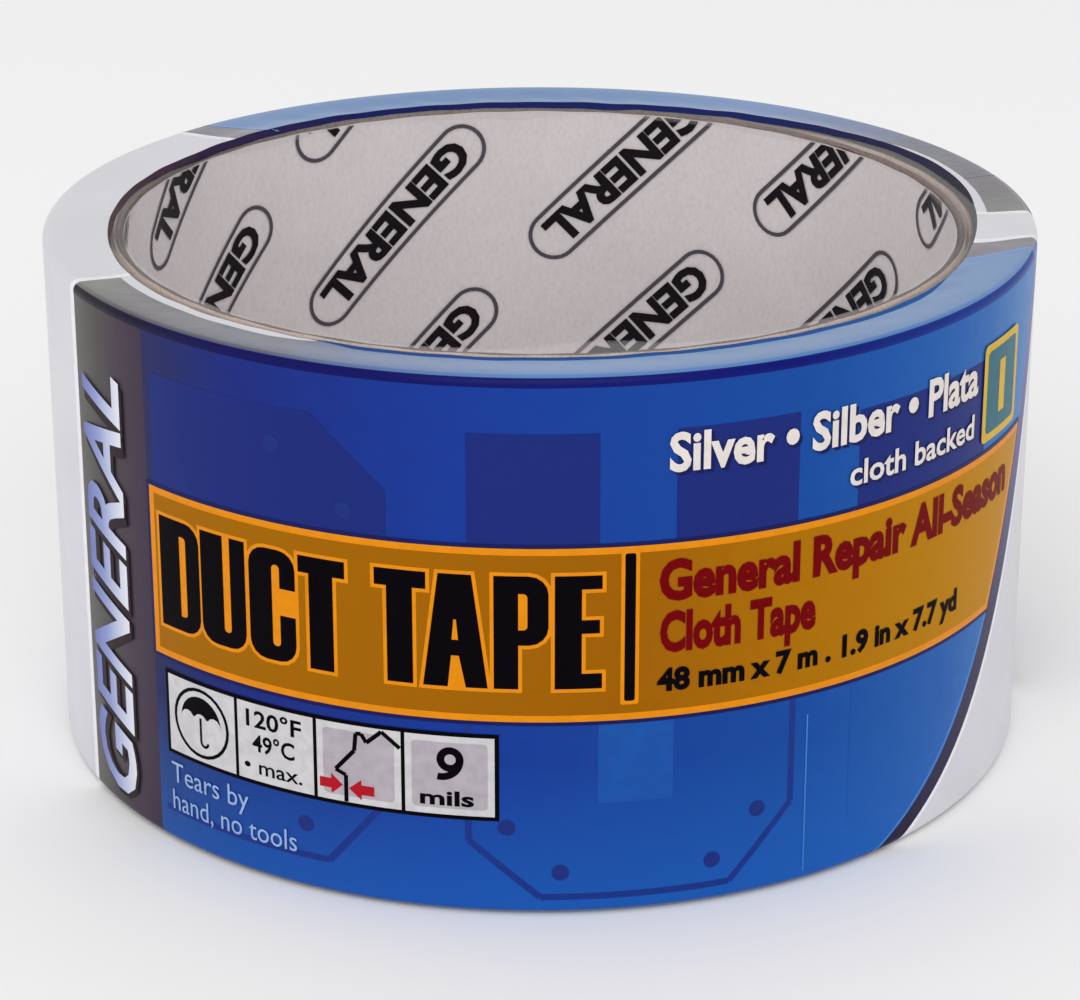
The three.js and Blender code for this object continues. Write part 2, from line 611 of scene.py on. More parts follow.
class Ink(Enum):
    """Every printed finish on the sleeve and the liner, and the painted highlight, reflection and shade laid
    on as ink.
    """

    FIELD = FIELD_INK
    PLATE = PlateInk("plate_ink", FIELD_INK, print_colour(20, 38, 118), 20.0, 33.0)
    PLATE_LINE = PlainInk("plate_line_ink", print_colour(22, 50, 132))
    RIVET = PlainInk("rivet_ink", print_colour(24, 46, 122))
    STRIPE = ShadedInk(
        "stripe_ink",
        (
            (0.0, print_colour(92, 90, 86)),
            (0.34, print_colour(74, 70, 70)),
            (0.66, print_colour(66, 54, 66)),
            (1.0, print_colour(58, 44, 66)),
        ),
        start=-49.4,
        end=-37.5,
    )
    AMBER = ShadedInk(
        "amber_ink",
        ((0.0, print_colour(160, 102, 0)), (0.5, print_colour(154, 92, 0)), (1.0, print_colour(192, 134, 0))),
        start=-37.0,
        end=52.0,
        specular=0.05,
    )
    AMBER_EDGE = PlainInk("amber_edge_ink", print_colour(228, 138, 0))
    TITLE = PlainInk("title_ink", print_colour(6, 3, 8), 0.03)
    RED = PlainInk("red_ink", print_colour(112, 0, 6), 0.04)
    NAVY_LINE = PlainInk("navy_line_ink", print_colour(14, 20, 84))
    # Painted shade along the film's free edge, where it stands off the core and turns down: blue at the
    # front, navy to dark brown at the back.
    RIM_SHADE = ShadedInk(
        "rim_shade_ink",
        (
            (0.0, print_colour(46, 80, 140)),
            (0.28, print_colour(48, 92, 158)),
            (0.4, print_colour(66, 60, 68)),
            (0.5, print_colour(44, 44, 80)),
            (0.56, print_colour(34, 42, 96)),
            (0.75, print_colour(28, 36, 90)),
            (0.86, print_colour(56, 42, 62)),
            (1.0, print_colour(92, 76, 76)),
        ),
        start=-22.0,
        end=226.0,
        shine=0.0,
    )
    GAP = PlainInk("gap_ink", print_colour(20, 80, 164))
    # Painted highlight down the swept stripe's left edge; the same pale blue also draws the hairline.
    GLINT = PlainInk("glint_ink", print_colour(62, 128, 206))
    # Painted reflection: a dark line round the top corner, where the curved film reflects darker
    # surroundings.
    CORNER = ShadedInk(
        "corner_reflection_ink",
        (
            (0.0, print_colour(30, 26, 32)),
            (0.1, print_colour(20, 12, 44)),
            (0.2, print_colour(4, 4, 84)),
            (0.65, print_colour(4, 12, 108)),
            (1.0, print_colour(12, 60, 150)),
        ),
        start=-49.4,
        end=60.0,
        shine=0.3,
    )
    TILE = PlainInk("tile_ink", print_colour(206, 204, 206), uneven=0.12)
    TILE_GREY = PlainInk("tile_grey_ink", print_colour(178, 170, 178), uneven=0.12)
    ARROW = PlainInk("arrow_ink", print_colour(176, 10, 30))
    CREAM = PlainInk("cream_ink", print_colour(226, 218, 212))
    PALE = PlainInk("pale_ink", print_colour(150, 176, 222))
    LETTERING = ShadedInk(
        "lettering_ink",
        (
            (0.0, print_colour(104, 112, 180)),
            (0.4, print_colour(140, 152, 204)),
            (0.75, print_colour(196, 202, 226)),
            (1.0, print_colour(226, 226, 236)),
        ),
        start=-48.0,
        end=-41.1,
    )
    SIDE_SHADOW = PlainInk("side_shadow_ink", print_colour(44, 32, 38), 0.05)
    END_STRIPE = ShadedInk(
        "end_stripe_ink",
        (
            (0.0, print_colour(32, 22, 54)),
            (0.35, print_colour(46, 38, 80)),
            (0.75, print_colour(88, 92, 152)),
            (1.0, print_colour(106, 116, 176)),
        ),
        start=0.0,
        end=50.0,
        upwards=True,
        # Paler tones for loose film on the end faces: painted light coming through from behind.
        loose_stops=((0.0, print_colour(84, 78, 92)), (1.0, print_colour(96, 90, 106))),
    )
    WHITE = PlainInk("white_ink", print_colour(240, 238, 244))
    BADGE = PlainInk("badge_ink", print_colour(216, 176, 40))
    BADGE_GROUND = PlainInk("badge_ground_ink", print_colour(40, 104, 120))
    LINER_BLACK = PlainInk("liner_black_ink", print_colour(24, 20, 26))
    LINER_GREY = PlainInk("liner_grey_ink", print_colour(84, 80, 88))


def ink_material(ink: Ink, lie: Lie) -> bpy.types.Material:
    """The ink's material, made the first time that it is asked for."""
    return bpy.data.materials.get(f"{ink.value.name}_{lie.value}") or ink.value.build(lie)


# ---------------------------------------------------------------- surfaces that artwork is wrapped on

@dataclass(frozen=True)
class RollSizes:
    """The roll's own sizes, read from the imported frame, in millimetres."""

    sleeve_radius: float
    height: float
    film: float
    ply_radii: dict[str, float]
    glue_line: float = 0.02
    liner: float = 0.12

    @classmethod
    def from_frame(cls) -> "RollSizes":
        """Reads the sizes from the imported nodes' boxes.

        Returns:
            The sizes.
        """
        def outer(node: str) -> float:
            """Half of a node's width."""
            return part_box(node)[1].x / MM
        plies = ("core_liner_ply", "core_board_ply_inner", "core_board_ply_middle", "core_board_ply_outer",
                 "core_face_ply")
        return cls(
            sleeve_radius=outer("shrink_sleeve"),
            height=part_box("shrink_sleeve")[1].z / MM,
            film=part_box("tape_windings")[0].z / MM,
            ply_radii={name: outer(name) for name in plies},
        )

    @property
    def bore_radius(self) -> float:
        """The bore's radius, inside the liner."""
        return self.ply_radii["core_liner_ply"] - self.liner

    @property
    def core_radius(self) -> float:
        """The core's outer radius."""
        return self.ply_radii["core_face_ply"]


@dataclass(frozen=True)
class Wave:
    """A whole number of equal waves round the roll."""

    count: int
    height: float
    phase: float = 0.0

    def at(self, angle: float, slip: float = 0.0) -> float:
        """Its height at an angle, with its crests slipped on by a further phase."""
        return self.height * math.sin(self.count * angle + self.phase + slip)


@dataclass(frozen=True)
class Swell:
    """A rise centred on one angle, which falls smoothly to nothing on either side of it."""

    centre: float
    spread: float
    height: float = 1.0

    def at(self, angle: float) -> float:
        """Its height at an angle."""
        away = math.remainder(angle - self.centre, 2 * math.pi)
        return self.height * math.exp(-(away / self.spread) ** 2 / 2)


@dataclass(frozen=True)
class FilmSurface:
    """Where the shrunk film lies: turns flat places into places on the roll.

    Along is measured round the outside from the front, to the right.  Up is measured from the foot, carries
    on round the top corner and then runs inwards over the end face; below the foot it does the same
    underneath.  The film drew in unevenly as it shrank, so that the printing's straight edge is nearer the
    axis on one side of the roll than on the other, where it stands off the core a little.  Past the brink it
    turns down: in a steep bend at the back, and hardly at all at the front.
    """

    radius: float
    height: float
    corner: float = 0.7
    loose_from: float = 0.8
    brink: float = 38.52
    drawn_edge: float = 40.2
    mean_edge: float = 39.5
    least_edge: float = 38.3
    edge_waves: tuple[Wave, ...] = (
        Wave(1, 1.22, math.pi / 2 - 0.61), Wave(2, -0.75, math.pi / 2 - 0.7),
    )
    edge_ripple: Wave = Wave(7, 0.08, 2.0)
    tucks: tuple[Swell, ...] = (Swell(2.1, 0.22, 1.2), Swell(1.4, 0.26, -0.8))
    sag: float = 0.3
    sag_run: float = 4.5
    long_pucker: Wave = Wave(29, 0.02, 1.3)
    short_pucker: Wave = Wave(47, 0.02)
    pucker_slant: float = 4.0
    hovers: tuple[Swell, ...] = (Swell(-1.85, 0.4, 0.4), Swell(2.15, 0.4, 0.4))
    front: Swell = Swell(0.12, 0.5)
    curvature: float = 2.0
    front_curvature: float = 0.06
    steepest: float = 1.6
    front_steepest: float = 0.25
    under_turn: float = 1.9
    corner_steps: int = 6
    face_steps: int = 7
    face_step: float = 0.5
    brow_steps: int = 14
    margin_steps: int = 13
    margin_step: float = 0.2

    @property
    def top_of_wall(self) -> float:
        """Height at which the wall starts to turn over."""
        return self.height - self.corner

    @property
    def turned(self) -> float:
        """The flat up coordinate at which the film has turned on to the end face."""
        return self.top_of_wall + self.corner * math.pi / 2

    @property
    def edge(self) -> float:
        """The flat up coordinate of the printing's upper edge."""
        return self.turned + self.radius - self.corner - self.drawn_edge

    def run_to(self, radius: float) -> float:
        """The distance inwards over the end face to a radius."""
        return self.radius - self.corner - radius

    def edge_radius(self, angle: float) -> float:
        """How far in the printing's edge came, were the end face to go on flat.

        Args:
            angle: The angle round the roll, 0 at the front.

        Returns:
            The edge's radius in millimetres.
        """
        drawn = self.mean_edge + sum(wave.at(angle) for wave in self.edge_waves)
        tucked = sum(tuck.at(angle) for tuck in self.tucks)
        return max(drawn, self.least_edge) + self.edge_ripple.at(angle) + tucked

    def dip(self, run: float) -> float:
        """How far the end face has sunk at a distance inwards over it."""
        share = min(max(run / self.sag_run, 0.0), 1.0)
        return self.sag * share * share * (3 - 2 * share)

    def relief(self, angle: float, run: float) -> float:
        """Height of the loose film over the flat end face.

        Args:
            angle: The angle round the roll, 0 at the front.
            run: The distance inwards over the end face.

        Returns:
            The height in millimetres, below 0 where the film has sunk.
        """
        share = min(run / self.sag_run, 1.0) ** 2
        pucker = self.long_pucker.height + self.short_pucker.height
        pucker += self.long_pucker.at(angle) + self.short_pucker.at(angle, self.pucker_slant * share)
        lifted = sum(hover.at(angle) for hover in self.hovers)
        return share * (pucker + lifted) - self.dip(run)

    def laid(self, angle: float, run: float, lift: float = 0.0) -> Point:
        """Where the film lies over the upper end face and past the brink.

        Args:
            angle: The angle round the roll, 0 at the front.
            run: The distance inwards over the end face.
            lift: Distance off the film.

        Returns:
            Radius and height in millimetres.
        """
        flat = self.run_to(self.brink)
        rise = self.height + self.relief(angle, run)
        if run <= flat:
            return self.radius - self.corner - run, rise + lift
        front = self.front.at(angle)
        bend = 1 / (self.curvature + (self.front_curvature - self.curvature) * front)
        curl = min((run - flat) / bend, self.steepest + (self.front_steepest - self.steepest) * front)
        straight = run - flat - bend * curl
        reach = bend * math.sin(curl) + straight * math.cos(curl)
        drop = bend * (1 - math.cos(curl)) + straight * math.sin(curl)
        return self.brink - reach - lift * math.sin(curl), rise - drop + lift * math.cos(curl)

    def section(self, up: float, lift: float, angle: float) -> Point:
        """Radius and height of a place on the film.

        Args:
            up: The flat up coordinate.
            lift: Distance off the film.
            angle: The angle round the roll, 0 at the front.

        Returns:
            Radius and height in millimetres.
        """
        if up < self.height / 2:
            radius, rise = self.section(self.height - up, lift, angle + self.under_turn)
            return radius, self.height - rise
        turn = (up - self.top_of_wall) / self.corner
        if turn <= 0:
            return self.radius + lift, up
        if turn < math.pi / 2:
            centre, reach = self.radius - self.corner, self.corner + lift
            return centre + reach * math.cos(turn), self.top_of_wall + reach * math.sin(turn)
        stretch = self.run_to(self.edge_radius(angle)) / self.run_to(self.drawn_edge)
        return self.laid(angle, (up - self.turned) * stretch, lift)

    def spot(self, angle: float, section: Point) -> Vector:
        """A radius and height at an angle, as a place in metres."""
        radius, rise = section
        return Vector((radius * math.sin(angle), -radius * math.cos(angle), rise)) * MM

    def place(self, along: float, up: float, lift: float = 0.0) -> Vector:
        """A flat place put on the roll, in metres."""
        angle = along / self.radius
        return self.spot(angle, self.section(up, lift, angle))

    def loose(self, up: float) -> bool:
        """Whether the film there has left the wall for an end face."""
        middle = self.height / 2
        return abs(up - middle) > self.top_of_wall + self.corner * self.loose_from - middle

    def creases(self) -> list[float]:
        """Works out where the upper half has to be creased to follow its curves.

        Returns:
            The up coordinates.
        """
        bend = self.turned - self.top_of_wall
        corner = [self.top_of_wall + bend * step / self.corner_steps for step in range(self.corner_steps + 1)]
        face = [self.turned + self.face_step * (step + 1) for step in range(self.face_steps)]
        rest = self.edge - face[-1]
        brow = [face[-1] + rest * (step + 1) / self.brow_steps for step in range(self.brow_steps)]
        return corner + face + brow

    def breaks(self) -> list[float]:
        """Works out where flat artwork has to be creased, at the top and at the foot.

        Returns:
            The up coordinates.
        """
        past = [self.edge + self.margin_step * (step + 1) for step in range(self.margin_steps)]
        upper = self.creases() + past
        return upper + [self.height - up for up in upper]


@dataclass(frozen=True)
class BoreSurface:
    """The liner's face inside the bore.  Along is measured from the back of the bore, to the right."""

    radius: float

    def place(self, along: float, up: float, lift: float = 0.0) -> Vector:
        """A flat place put on the liner, in metres."""
        angle = along / self.radius
        radius = self.radius - lift
        return Vector((radius * math.sin(angle), radius * math.cos(angle), up)) * MM

    def loose(self, up: float) -> bool:
        """Never: the liner is glued down."""
        return False

    def breaks(self) -> list[float]:
        """No creases: the liner is straight from end to end."""
        return []


Surface = FilmSurface | BoreSurface


# ---------------------------------------------------------------- flat outlines

def rounded_outline(corners: Sequence[tuple[float, float, float]], steps: int = 4) -> list[Point]:
    """A closed outline whose corners are rounded.

    Args:
        corners: The corners in order, each with its own radius.
        steps: How many straight pieces make up an arc.

    Returns:
        The outline's points.
    """
    points: list[Point] = []
    for index, (x, y, radius) in enumerate(corners):
        here = Vector((x, y))
        if radius == 0:
            points.append((x, y))
            continue
        before = (Vector(corners[index - 1][:2]) - here).normalized()
        after = (Vector(corners[(index + 1) % len(corners)][:2]) - here).normalized()
        half = before.angle(after) / 2
        centre = here + (before + after).normalized() * radius / math.sin(half)
        start = (here + before * radius / math.tan(half) - centre).normalized()
        end = (here + after * radius / math.tan(half) - centre).normalized()
        for step in range(steps + 1):
            points.append(tuple(centre + start.slerp(end, step / steps) * radius))
    return points


def box_outline(left: float, foot: float, right: float, top: float, radius: float = 0.0,
                steps: int = 4) -> list[Point]:
    """A rectangle, with rounded corners if a radius is given.

    Args:
        left: Where it starts along.
        foot: Where it starts up.
        right: Where it ends along.
        top: Where it ends up.
        radius: The corners' radius.
        steps: How many straight pieces make up a corner.

    Returns:
        The outline's points.
    """
    corners = ((left, foot), (right, foot), (right, top), (left, top))
    return rounded_outline([(x, y, radius) for x, y in corners], steps)


def circle_outline(x: float, y: float, radius: float, start: float = 0.0, sweep: float = 2 * math.pi,
                   steps: int = 28) -> list[Point]:
    """A circle, or the part of one that the sweep covers.

    Args:
        x: The centre's place along.
        y: The centre's place up.
        radius: The radius.
        start: The angle at which the first point lies.
        sweep: The angle covered.
        steps: How many straight pieces it has.

    Returns:
        The points, with no point repeated on a full circle.
    """
    whole = math.isclose(abs(sweep), 2 * math.pi)
    angles = [start + sweep * step / steps for step in range(steps if whole else steps + 1)]
    return [(x + radius * math.cos(angle), y + radius * math.sin(angle)) for angle in angles]


def bar_outline(start: Point, end: Point, width: float) -> list[Point]:
    """A straight bar between two points.

    Args:
        start: Where its middle line starts.
        end: Where that ends.
        width: The bar's width.

    Returns:
        Its four corners.
    """
    first, second = Vector(start), Vector(end)
    side = (second - first).normalized().orthogonal() * width / 2
    return [tuple(first + side), tuple(first - side), tuple(second - side), tuple(second + side)]


@dataclass(frozen=True)
class BlockLetters:
    """Heavy, narrow capitals for the roll's title, drawn on a cap height of one.

    Each letter has a thick stem on its left and a thinner one on its right, with a slit of a counter between.
    A letter's method takes its width as a share of its height, and gives its outer outline and any counter.
    """

    stem: float = 0.25
    slit: float = 0.075
    bar: float = 0.135
    round: float = 0.16
    counter: float = 0.035
    lean: float = 0.245

    def letter(self, name: str, width: float) -> list[list[Point]]:
        """The outlines of one capital.

        Args:
            name: One of the letters that the title needs.
            width: The letter's width, as a share of its height.

        Returns:
            The outer outline and then any counter.
        """
        return getattr(self, f"letter_{name.lower()}")(width)

    def silhouette(self, name: str, width: float) -> list[list[Point]]:
        """One capital with its counters and slits filled in, for the halo behind it.

        Args:
            name: One of the letters that the title needs.
            width: The letter's width, as a share of its height.

        Returns:
            The outer outline alone.
        """
        if name in "UC":
            top = 0.0 if name == "U" else self.round
            corners = [(0, 0, self.round), (width, 0, self.round), (width, 1, top), (0, 1, top)]
            return [rounded_outline(corners)]
        if name == "A":
            lean = width * self.lean
            return [[(0, 0), (width, 0), (width - lean, 1), (lean, 1)]]
        return self.letter(name, width)[:1]

    def letter_d(self, w: float) -> list[list[Point]]:
        """Capital D."""
        t, b, r, c = self.stem, self.bar, self.round, self.counter
        far = t + self.slit
        return [rounded_outline([(0, 0, 0), (w, 0, r), (w, 1, r), (0, 1, 0)]),
                rounded_outline([(t, b, 0), (far, b, c), (far, 1 - b, c), (t, 1 - b, 0)])]

    def letter_u(self, w: float) -> list[list[Point]]:
        """Capital U."""
        t, b, r, c = self.stem, self.bar, self.round, self.counter
        far = t + self.slit
        return [rounded_outline([(0, 0, r), (w, 0, r), (w, 1, 0), (far, 1, 0), (far, b, c), (t, b, c),
                                 (t, 1, 0), (0, 1, 0)])]

    def letter_c(self, w: float) -> list[list[Point]]:
        """Capital C."""
        t, b, r, c = self.stem - 0.02, self.bar, self.round, self.counter
        far = t + self.slit
        low, high = 0.42, 0.66
        return [rounded_outline([(0, 0, r), (w, 0, r), (w, low, 0), (far, low, 0), (far, b, c), (t, b, c),
                                 (t, 1 - b, c), (far, 1 - b, c), (far, high, 0), (w, high, 0), (w, 1, r),
                                 (0, 1, r)])]

    def letter_t(self, w: float) -> list[list[Point]]:
        """Capital T."""
        left, far, under = (w - self.stem) / 2 + 0.01, (w + self.stem) / 2 - 0.02, 1 - self.bar - 0.015
        return [[(left, 0), (far, 0), (far, under), (w, under), (w, 1), (0, 1), (0, under), (left, under)]]

    def letter_a(self, w: float) -> list[list[Point]]:
        """Capital A."""
        lean = w * self.lean
        gap, crossbar, peak = 0.28, 0.42, 0.6
        return [[(0, 0), (self.stem * 0.82, 0), (w * 0.44, gap), (w * 0.56, gap), (w - self.stem * 0.72, 0),
                 (w, 0), (w - lean, 1), (lean, 1)],
                [(w * 0.45, crossbar), (w * 0.55, crossbar), (w * 0.52, peak), (w * 0.48, peak)]]

    def letter_p(self, w: float) -> list[list[Point]]:
        """Capital P."""
        t, b, r, c = self.stem - 0.05, self.bar, self.round, self.counter
        foot = 0.39
        far, low, high = t + self.slit, foot + b, 1 - b - 0.02
        return [rounded_outline([(0, 0, 0), (t, 0, 0), (t, foot, 0), (w, foot, r), (w, 1, r), (0, 1, 0)]),
                rounded_outline([(t, low, 0), (far, low, c), (far, high, c), (t, high, 0)])]

    def letter_e(self, w: float) -> list[list[Point]]:
        """Capital E."""
        t, b = self.stem - 0.03, self.bar
        low, high, top = 0.49, 0.61, 1 - b + 0.015
        return [[(0, 0), (w, 0), (w, b), (t, b), (t, low), (w * 0.95, low), (w * 0.95, high), (t, high),
                 (t, top), (w, top), (w, 1), (0, 1)]]


@dataclass(frozen=True)
class TextLine:
    """A line of small print, set so that it just fills a width at a cap height.

    Weight is how much bolder it is than the plain face, as a share of the text size, and slant is how far it
    leans.
    """

    words: str
    left: float
    right: float
    foot: float
    cap: float
    weight: float = 0.0
    slant: float = 0.0


# ---------------------------------------------------------------- artwork

def outward(surface: Surface, along: float, up: float, lift: float, nudge: float = 0.02) -> Vector:
    """The direction that a surface faces at a flat place.

    Args:
        surface: The surface.
        along: The place along.
        up: The place up.
        lift: How far off the surface.
        nudge: How far to either side it is felt for.

    Returns:
        The direction, of length one.
    """
    across = surface.place(along + nudge, up, lift) - surface.place(along - nudge, up, lift)
    upwards = surface.place(along, up + nudge, lift) - surface.place(along, up - nudge, lift)
    return across.cross(upwards).normalized()


class Artwork:
    """Flat shapes in one ink, wrapped on to a surface as one thin piece.

    Its flat coordinates are kept as a UV map in decimetres, and it is cut into strips before it is bent.
    """

    UV_NAME = "artwork"
    UV_SIZE = 100.0
    STRIP_WIDTH = 1.0
    WELD = 1e-4

    def __init__(self) -> None:
        """Starts with nothing drawn."""
        self.bm = bmesh.new()

    def take(self, curve: bpy.types.Curve, turn: Matrix) -> None:
        """Adds a flat curve's filled shape.

        Args:
            curve: The curve, filled and flat.  It is removed afterwards.
            turn: Where it goes.
        """
        holder = bpy.data.objects.new("drawing", curve)
        mesh = bpy.data.meshes.new_from_object(holder)
        mesh.transform(turn)
        self.bm.from_mesh(mesh)
        bpy.data.meshes.remove(mesh)
        bpy.data.objects.remove(holder)
        bpy.data.curves.remove(curve)

    def outlines(self, loops: Iterable[Sequence[Point]], turn: Matrix | None = None,
                 spread: float = 0.0) -> None:
        """Fills outlines; one inside another is a hole.

        Args:
            loops: The closed outlines.
            turn: Where they go, if not where they are drawn.
            spread: How far the shape is grown outwards.
        """
        curve = bpy.data.curves.new("outline", "CURVE")
        curve.dimensions = "2D"
        curve.fill_mode = "BOTH"
        curve.offset = spread
        for loop in loops:
            spline = curve.splines.new("POLY")
            spline.points.add(len(loop) - 1)
            for point, (x, y) in zip(spline.points, loop):
                point.co = (x, y, 0.0, 1.0)
            spline.use_cyclic_u = True
        self.take(curve, turn or Matrix.Identity(4))

    @staticmethod
    def lettering(words: str, weight: float, slant: float) -> bpy.types.TextCurve:
        """A text curve in the plain built-in face.

        Args:
            words: What it says.
            weight: How much bolder than the plain face, as a share of the text size.
            slant: How far it leans.

        Returns:
            The curve, of size one.
        """
        curve = bpy.data.curves.new("lettering", "FONT")
        curve.body = words
        curve.offset = weight
        curve.shear = slant
        curve.resolution_u = 3
        curve.fill_mode = "BOTH"
        return curve

    @classmethod
    def extent(cls, curve: bpy.types.TextCurve) -> tuple[Vector, Vector]:
        """Measures a text curve and removes it.

        Args:
            curve: The curve.

        Returns:
            The lowest and the highest corner of its filled shape.
        """
        holder = bpy.data.objects.new("measure", curve)
        mesh = bpy.data.meshes.new_from_object(holder)
        low = Vector([min(v.co[axis] for v in mesh.vertices) for axis in range(3)])
        high = Vector([max(v.co[axis] for v in mesh.vertices) for axis in range(3)])
        bpy.data.meshes.remove(mesh)
        bpy.data.objects.remove(holder)
        bpy.data.curves.remove(curve)
        return low, high

    def text(self, line: TextLine, turn: Matrix | None = None) -> None:
        """Sets a line of text.

        Args:
            line: What it says and the room that it fills.
            turn: A further placing of the set line.
        """
        low, high = self.extent(self.lettering(line.words, line.weight, line.slant))
        base, crown = self.extent(self.lettering("H", line.weight, 0.0))
        rise = line.cap / (crown.y - base.y)
        stretch = (line.right - line.left) / (high.x - low.x)
        place = (Matrix.Translation((line.left, line.foot, 0)) @ Matrix.Diagonal((stretch, rise, 1, 1))
                 @ Matrix.Translation((-low.x, -base.y, 0)))
        self.take(self.lettering(line.words, line.weight, line.slant), (turn or Matrix.Identity(4)) @ place)

    def cut(self, place: Point, normal: Point) -> None:
        """Drops what lies on the normal's side of a line."""
        self.slice(place, normal, clear_outer=True)

    def slice(self, place: Point, normal: Point, clear_outer: bool = False) -> None:
        """Creases the artwork along a line.

        Args:
            place: A point of the line.
            normal: The direction across the line.
            clear_outer: Whether to drop what lies on the normal's side.
        """
        geometry = [*self.bm.verts, *self.bm.edges, *self.bm.faces]
        bmesh.ops.bisect_plane(self.bm, geom=geometry, dist=1e-6, plane_co=(*place, 0),
                               plane_no=(*normal, 0), clear_outer=clear_outer)

    def crease(self, surface: Surface) -> None:
        """Cuts the flat artwork wherever it has to bend, and turns every face upwards.

        Args:
            surface: What it is going to lie on.
        """
        bmesh.ops.remove_doubles(self.bm, verts=self.bm.verts, dist=self.WELD)
        low = min(v.co.x for v in self.bm.verts)
        high = max(v.co.x for v in self.bm.verts)
        foot = min(v.co.y for v in self.bm.verts)
        top = max(v.co.y for v in self.bm.verts)
        for up in surface.breaks():
            if foot < up < top:
                self.slice((0, up), (0, 1))
        for step in range(math.ceil(low / self.STRIP_WIDTH), math.ceil(high / self.STRIP_WIDTH)):
            self.slice((step * self.STRIP_WIDTH, 0), (1, 0))
        wrong = [face for face in self.bm.faces if face.normal.z < 0]
        bmesh.ops.reverse_faces(self.bm, faces=wrong)

    def colour_in(self, surface: Surface, ink: Ink) -> list[bpy.types.Material]:
        """Keeps the artwork's flat coordinates and gives each face its ink, for tight or for loose film.

        Args:
            surface: What it lies on.
            ink: The piece's finish.

        Returns:
            The materials that it needs.
        """
        layer = self.bm.loops.layers.uv.new(self.UV_NAME)
        for face in self.bm.faces:
            for loop in face.loops:
                loop[layer].uv = loop.vert.co.xy / self.UV_SIZE
            face.material_index = int(surface.loose(face.calc_center_median().y))
        lies = [Lie.TIGHT]
        if any(face.material_index for face in self.bm.faces):
            lies.append(Lie.LOOSE)
        return [ink_material(ink, lie) for lie in lies]

    def wrap(self, surface: Surface, lift: float, name: str, ink: Ink, slot: str, nodes: Sequence[str],
             shifts: Sequence[float] = (0.0,)) -> bpy.types.Object:
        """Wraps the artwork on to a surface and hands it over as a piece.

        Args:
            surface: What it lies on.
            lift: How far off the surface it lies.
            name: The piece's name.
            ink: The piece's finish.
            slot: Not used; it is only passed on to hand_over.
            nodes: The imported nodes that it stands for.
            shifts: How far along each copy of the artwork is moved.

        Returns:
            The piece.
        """
        self.crease(surface)
        materials = self.colour_in(surface, ink)
        whole = bmesh.new()
        normals: list[Vector] = []
        holder = bpy.data.meshes.new("copy")
        for shift in shifts:
            sheet = self.bm.copy()
            for vert in sheet.verts:
                along, up = vert.co.x + shift, vert.co.y
                vert.co = surface.place(along, up, lift)
                normals.append(outward(surface, along, up, lift))
            sheet.to_mesh(holder)
            whole.from_mesh(holder)
            sheet.free()
        bpy.data.meshes.remove(holder)
        mesh = bpy.data.meshes.new(name)
        whole.to_mesh(mesh)
        whole.free()
        self.bm.free()
        for polygon in mesh.polygons:
            polygon.use_smooth = True
        mesh.normals_split_custom_set_from_vertices(normals)
        return hand_over(mesh, name, materials, slot, nodes)


def hand_over(mesh: bpy.types.Mesh, name: str, materials: Sequence[bpy.types.Material], slot: str,
              nodes: Sequence[str]) -> bpy.types.Object:
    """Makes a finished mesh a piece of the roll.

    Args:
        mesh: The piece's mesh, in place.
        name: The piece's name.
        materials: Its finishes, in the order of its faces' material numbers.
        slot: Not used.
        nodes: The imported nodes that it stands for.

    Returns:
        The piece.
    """
    for material in materials:
        mesh.materials.append(material)
    piece = bpy.data.objects.new(name, mesh)
    bpy.context.scene.collection.objects.link(piece)
    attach(piece, BODY)
    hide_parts(*nodes)
    log.info("%s: %d faces", name, len(mesh.polygons))
    return piece


def sheet_grid(columns: int, rows: int) -> bmesh.types.BMesh:
    """A flat grid of unit size, from 0 to 1 along and up.

    Args:
        columns: How many faces it has along.
        rows: How many it has up.

    Returns:
        The grid.
    """
    bm = bmesh.new()
    bmesh.ops.create_grid(bm, x_segments=columns, y_segments=rows, size=0.5)
    bmesh.ops.translate(bm, verts=bm.verts, vec=(0.5, 0.5, 0))
    return bm


def sheet_to_wall(bm: bmesh.types.BMesh, name: str, place: Callable[[float, float], Vector], thickness: float,
                  flat_size: Point, closed: bool) -> bpy.types.Mesh:
    """Bends a grid into place and gives it its thickness.

    Args:
        bm: A grid from sheet_grid.  It is freed afterwards.
        name: The mesh's name.
        place: Where a place on the grid goes, in metres.
        thickness: The wall's thickness in metres, behind the face that was placed.
        flat_size: The sheet's flat width and height in millimetres, for its own coordinates.
        closed: Whether the grid's two ends meet.

    Returns:
        The closed mesh.
    """
    layer = bm.loops.layers.uv.new(Artwork.UV_NAME)
    width, height = (side / Artwork.UV_SIZE for side in flat_size)
    for face in bm.faces:
        face.smooth = True
        for loop in face.loops:
            loop[layer].uv = (loop.vert.co.x * width, loop.vert.co.y * height)
    for vert in bm.verts:
        vert.co = place(vert.co.x, vert.co.y)
    if closed:
        bmesh.ops.remove_doubles(bm, verts=bm.verts, dist=SEAM_WELD)
    bmesh.ops.solidify(bm, geom=bm.faces[:], thickness=thickness)
    mesh = bpy.data.meshes.new(name)
    bm.to_mesh(mesh)
    bm.free()
    mesh.set_sharp_from_angle(angle=SHARP_ANGLE)
    return mesh


# ---------------------------------------------------------------- the roll's sub-assemblies

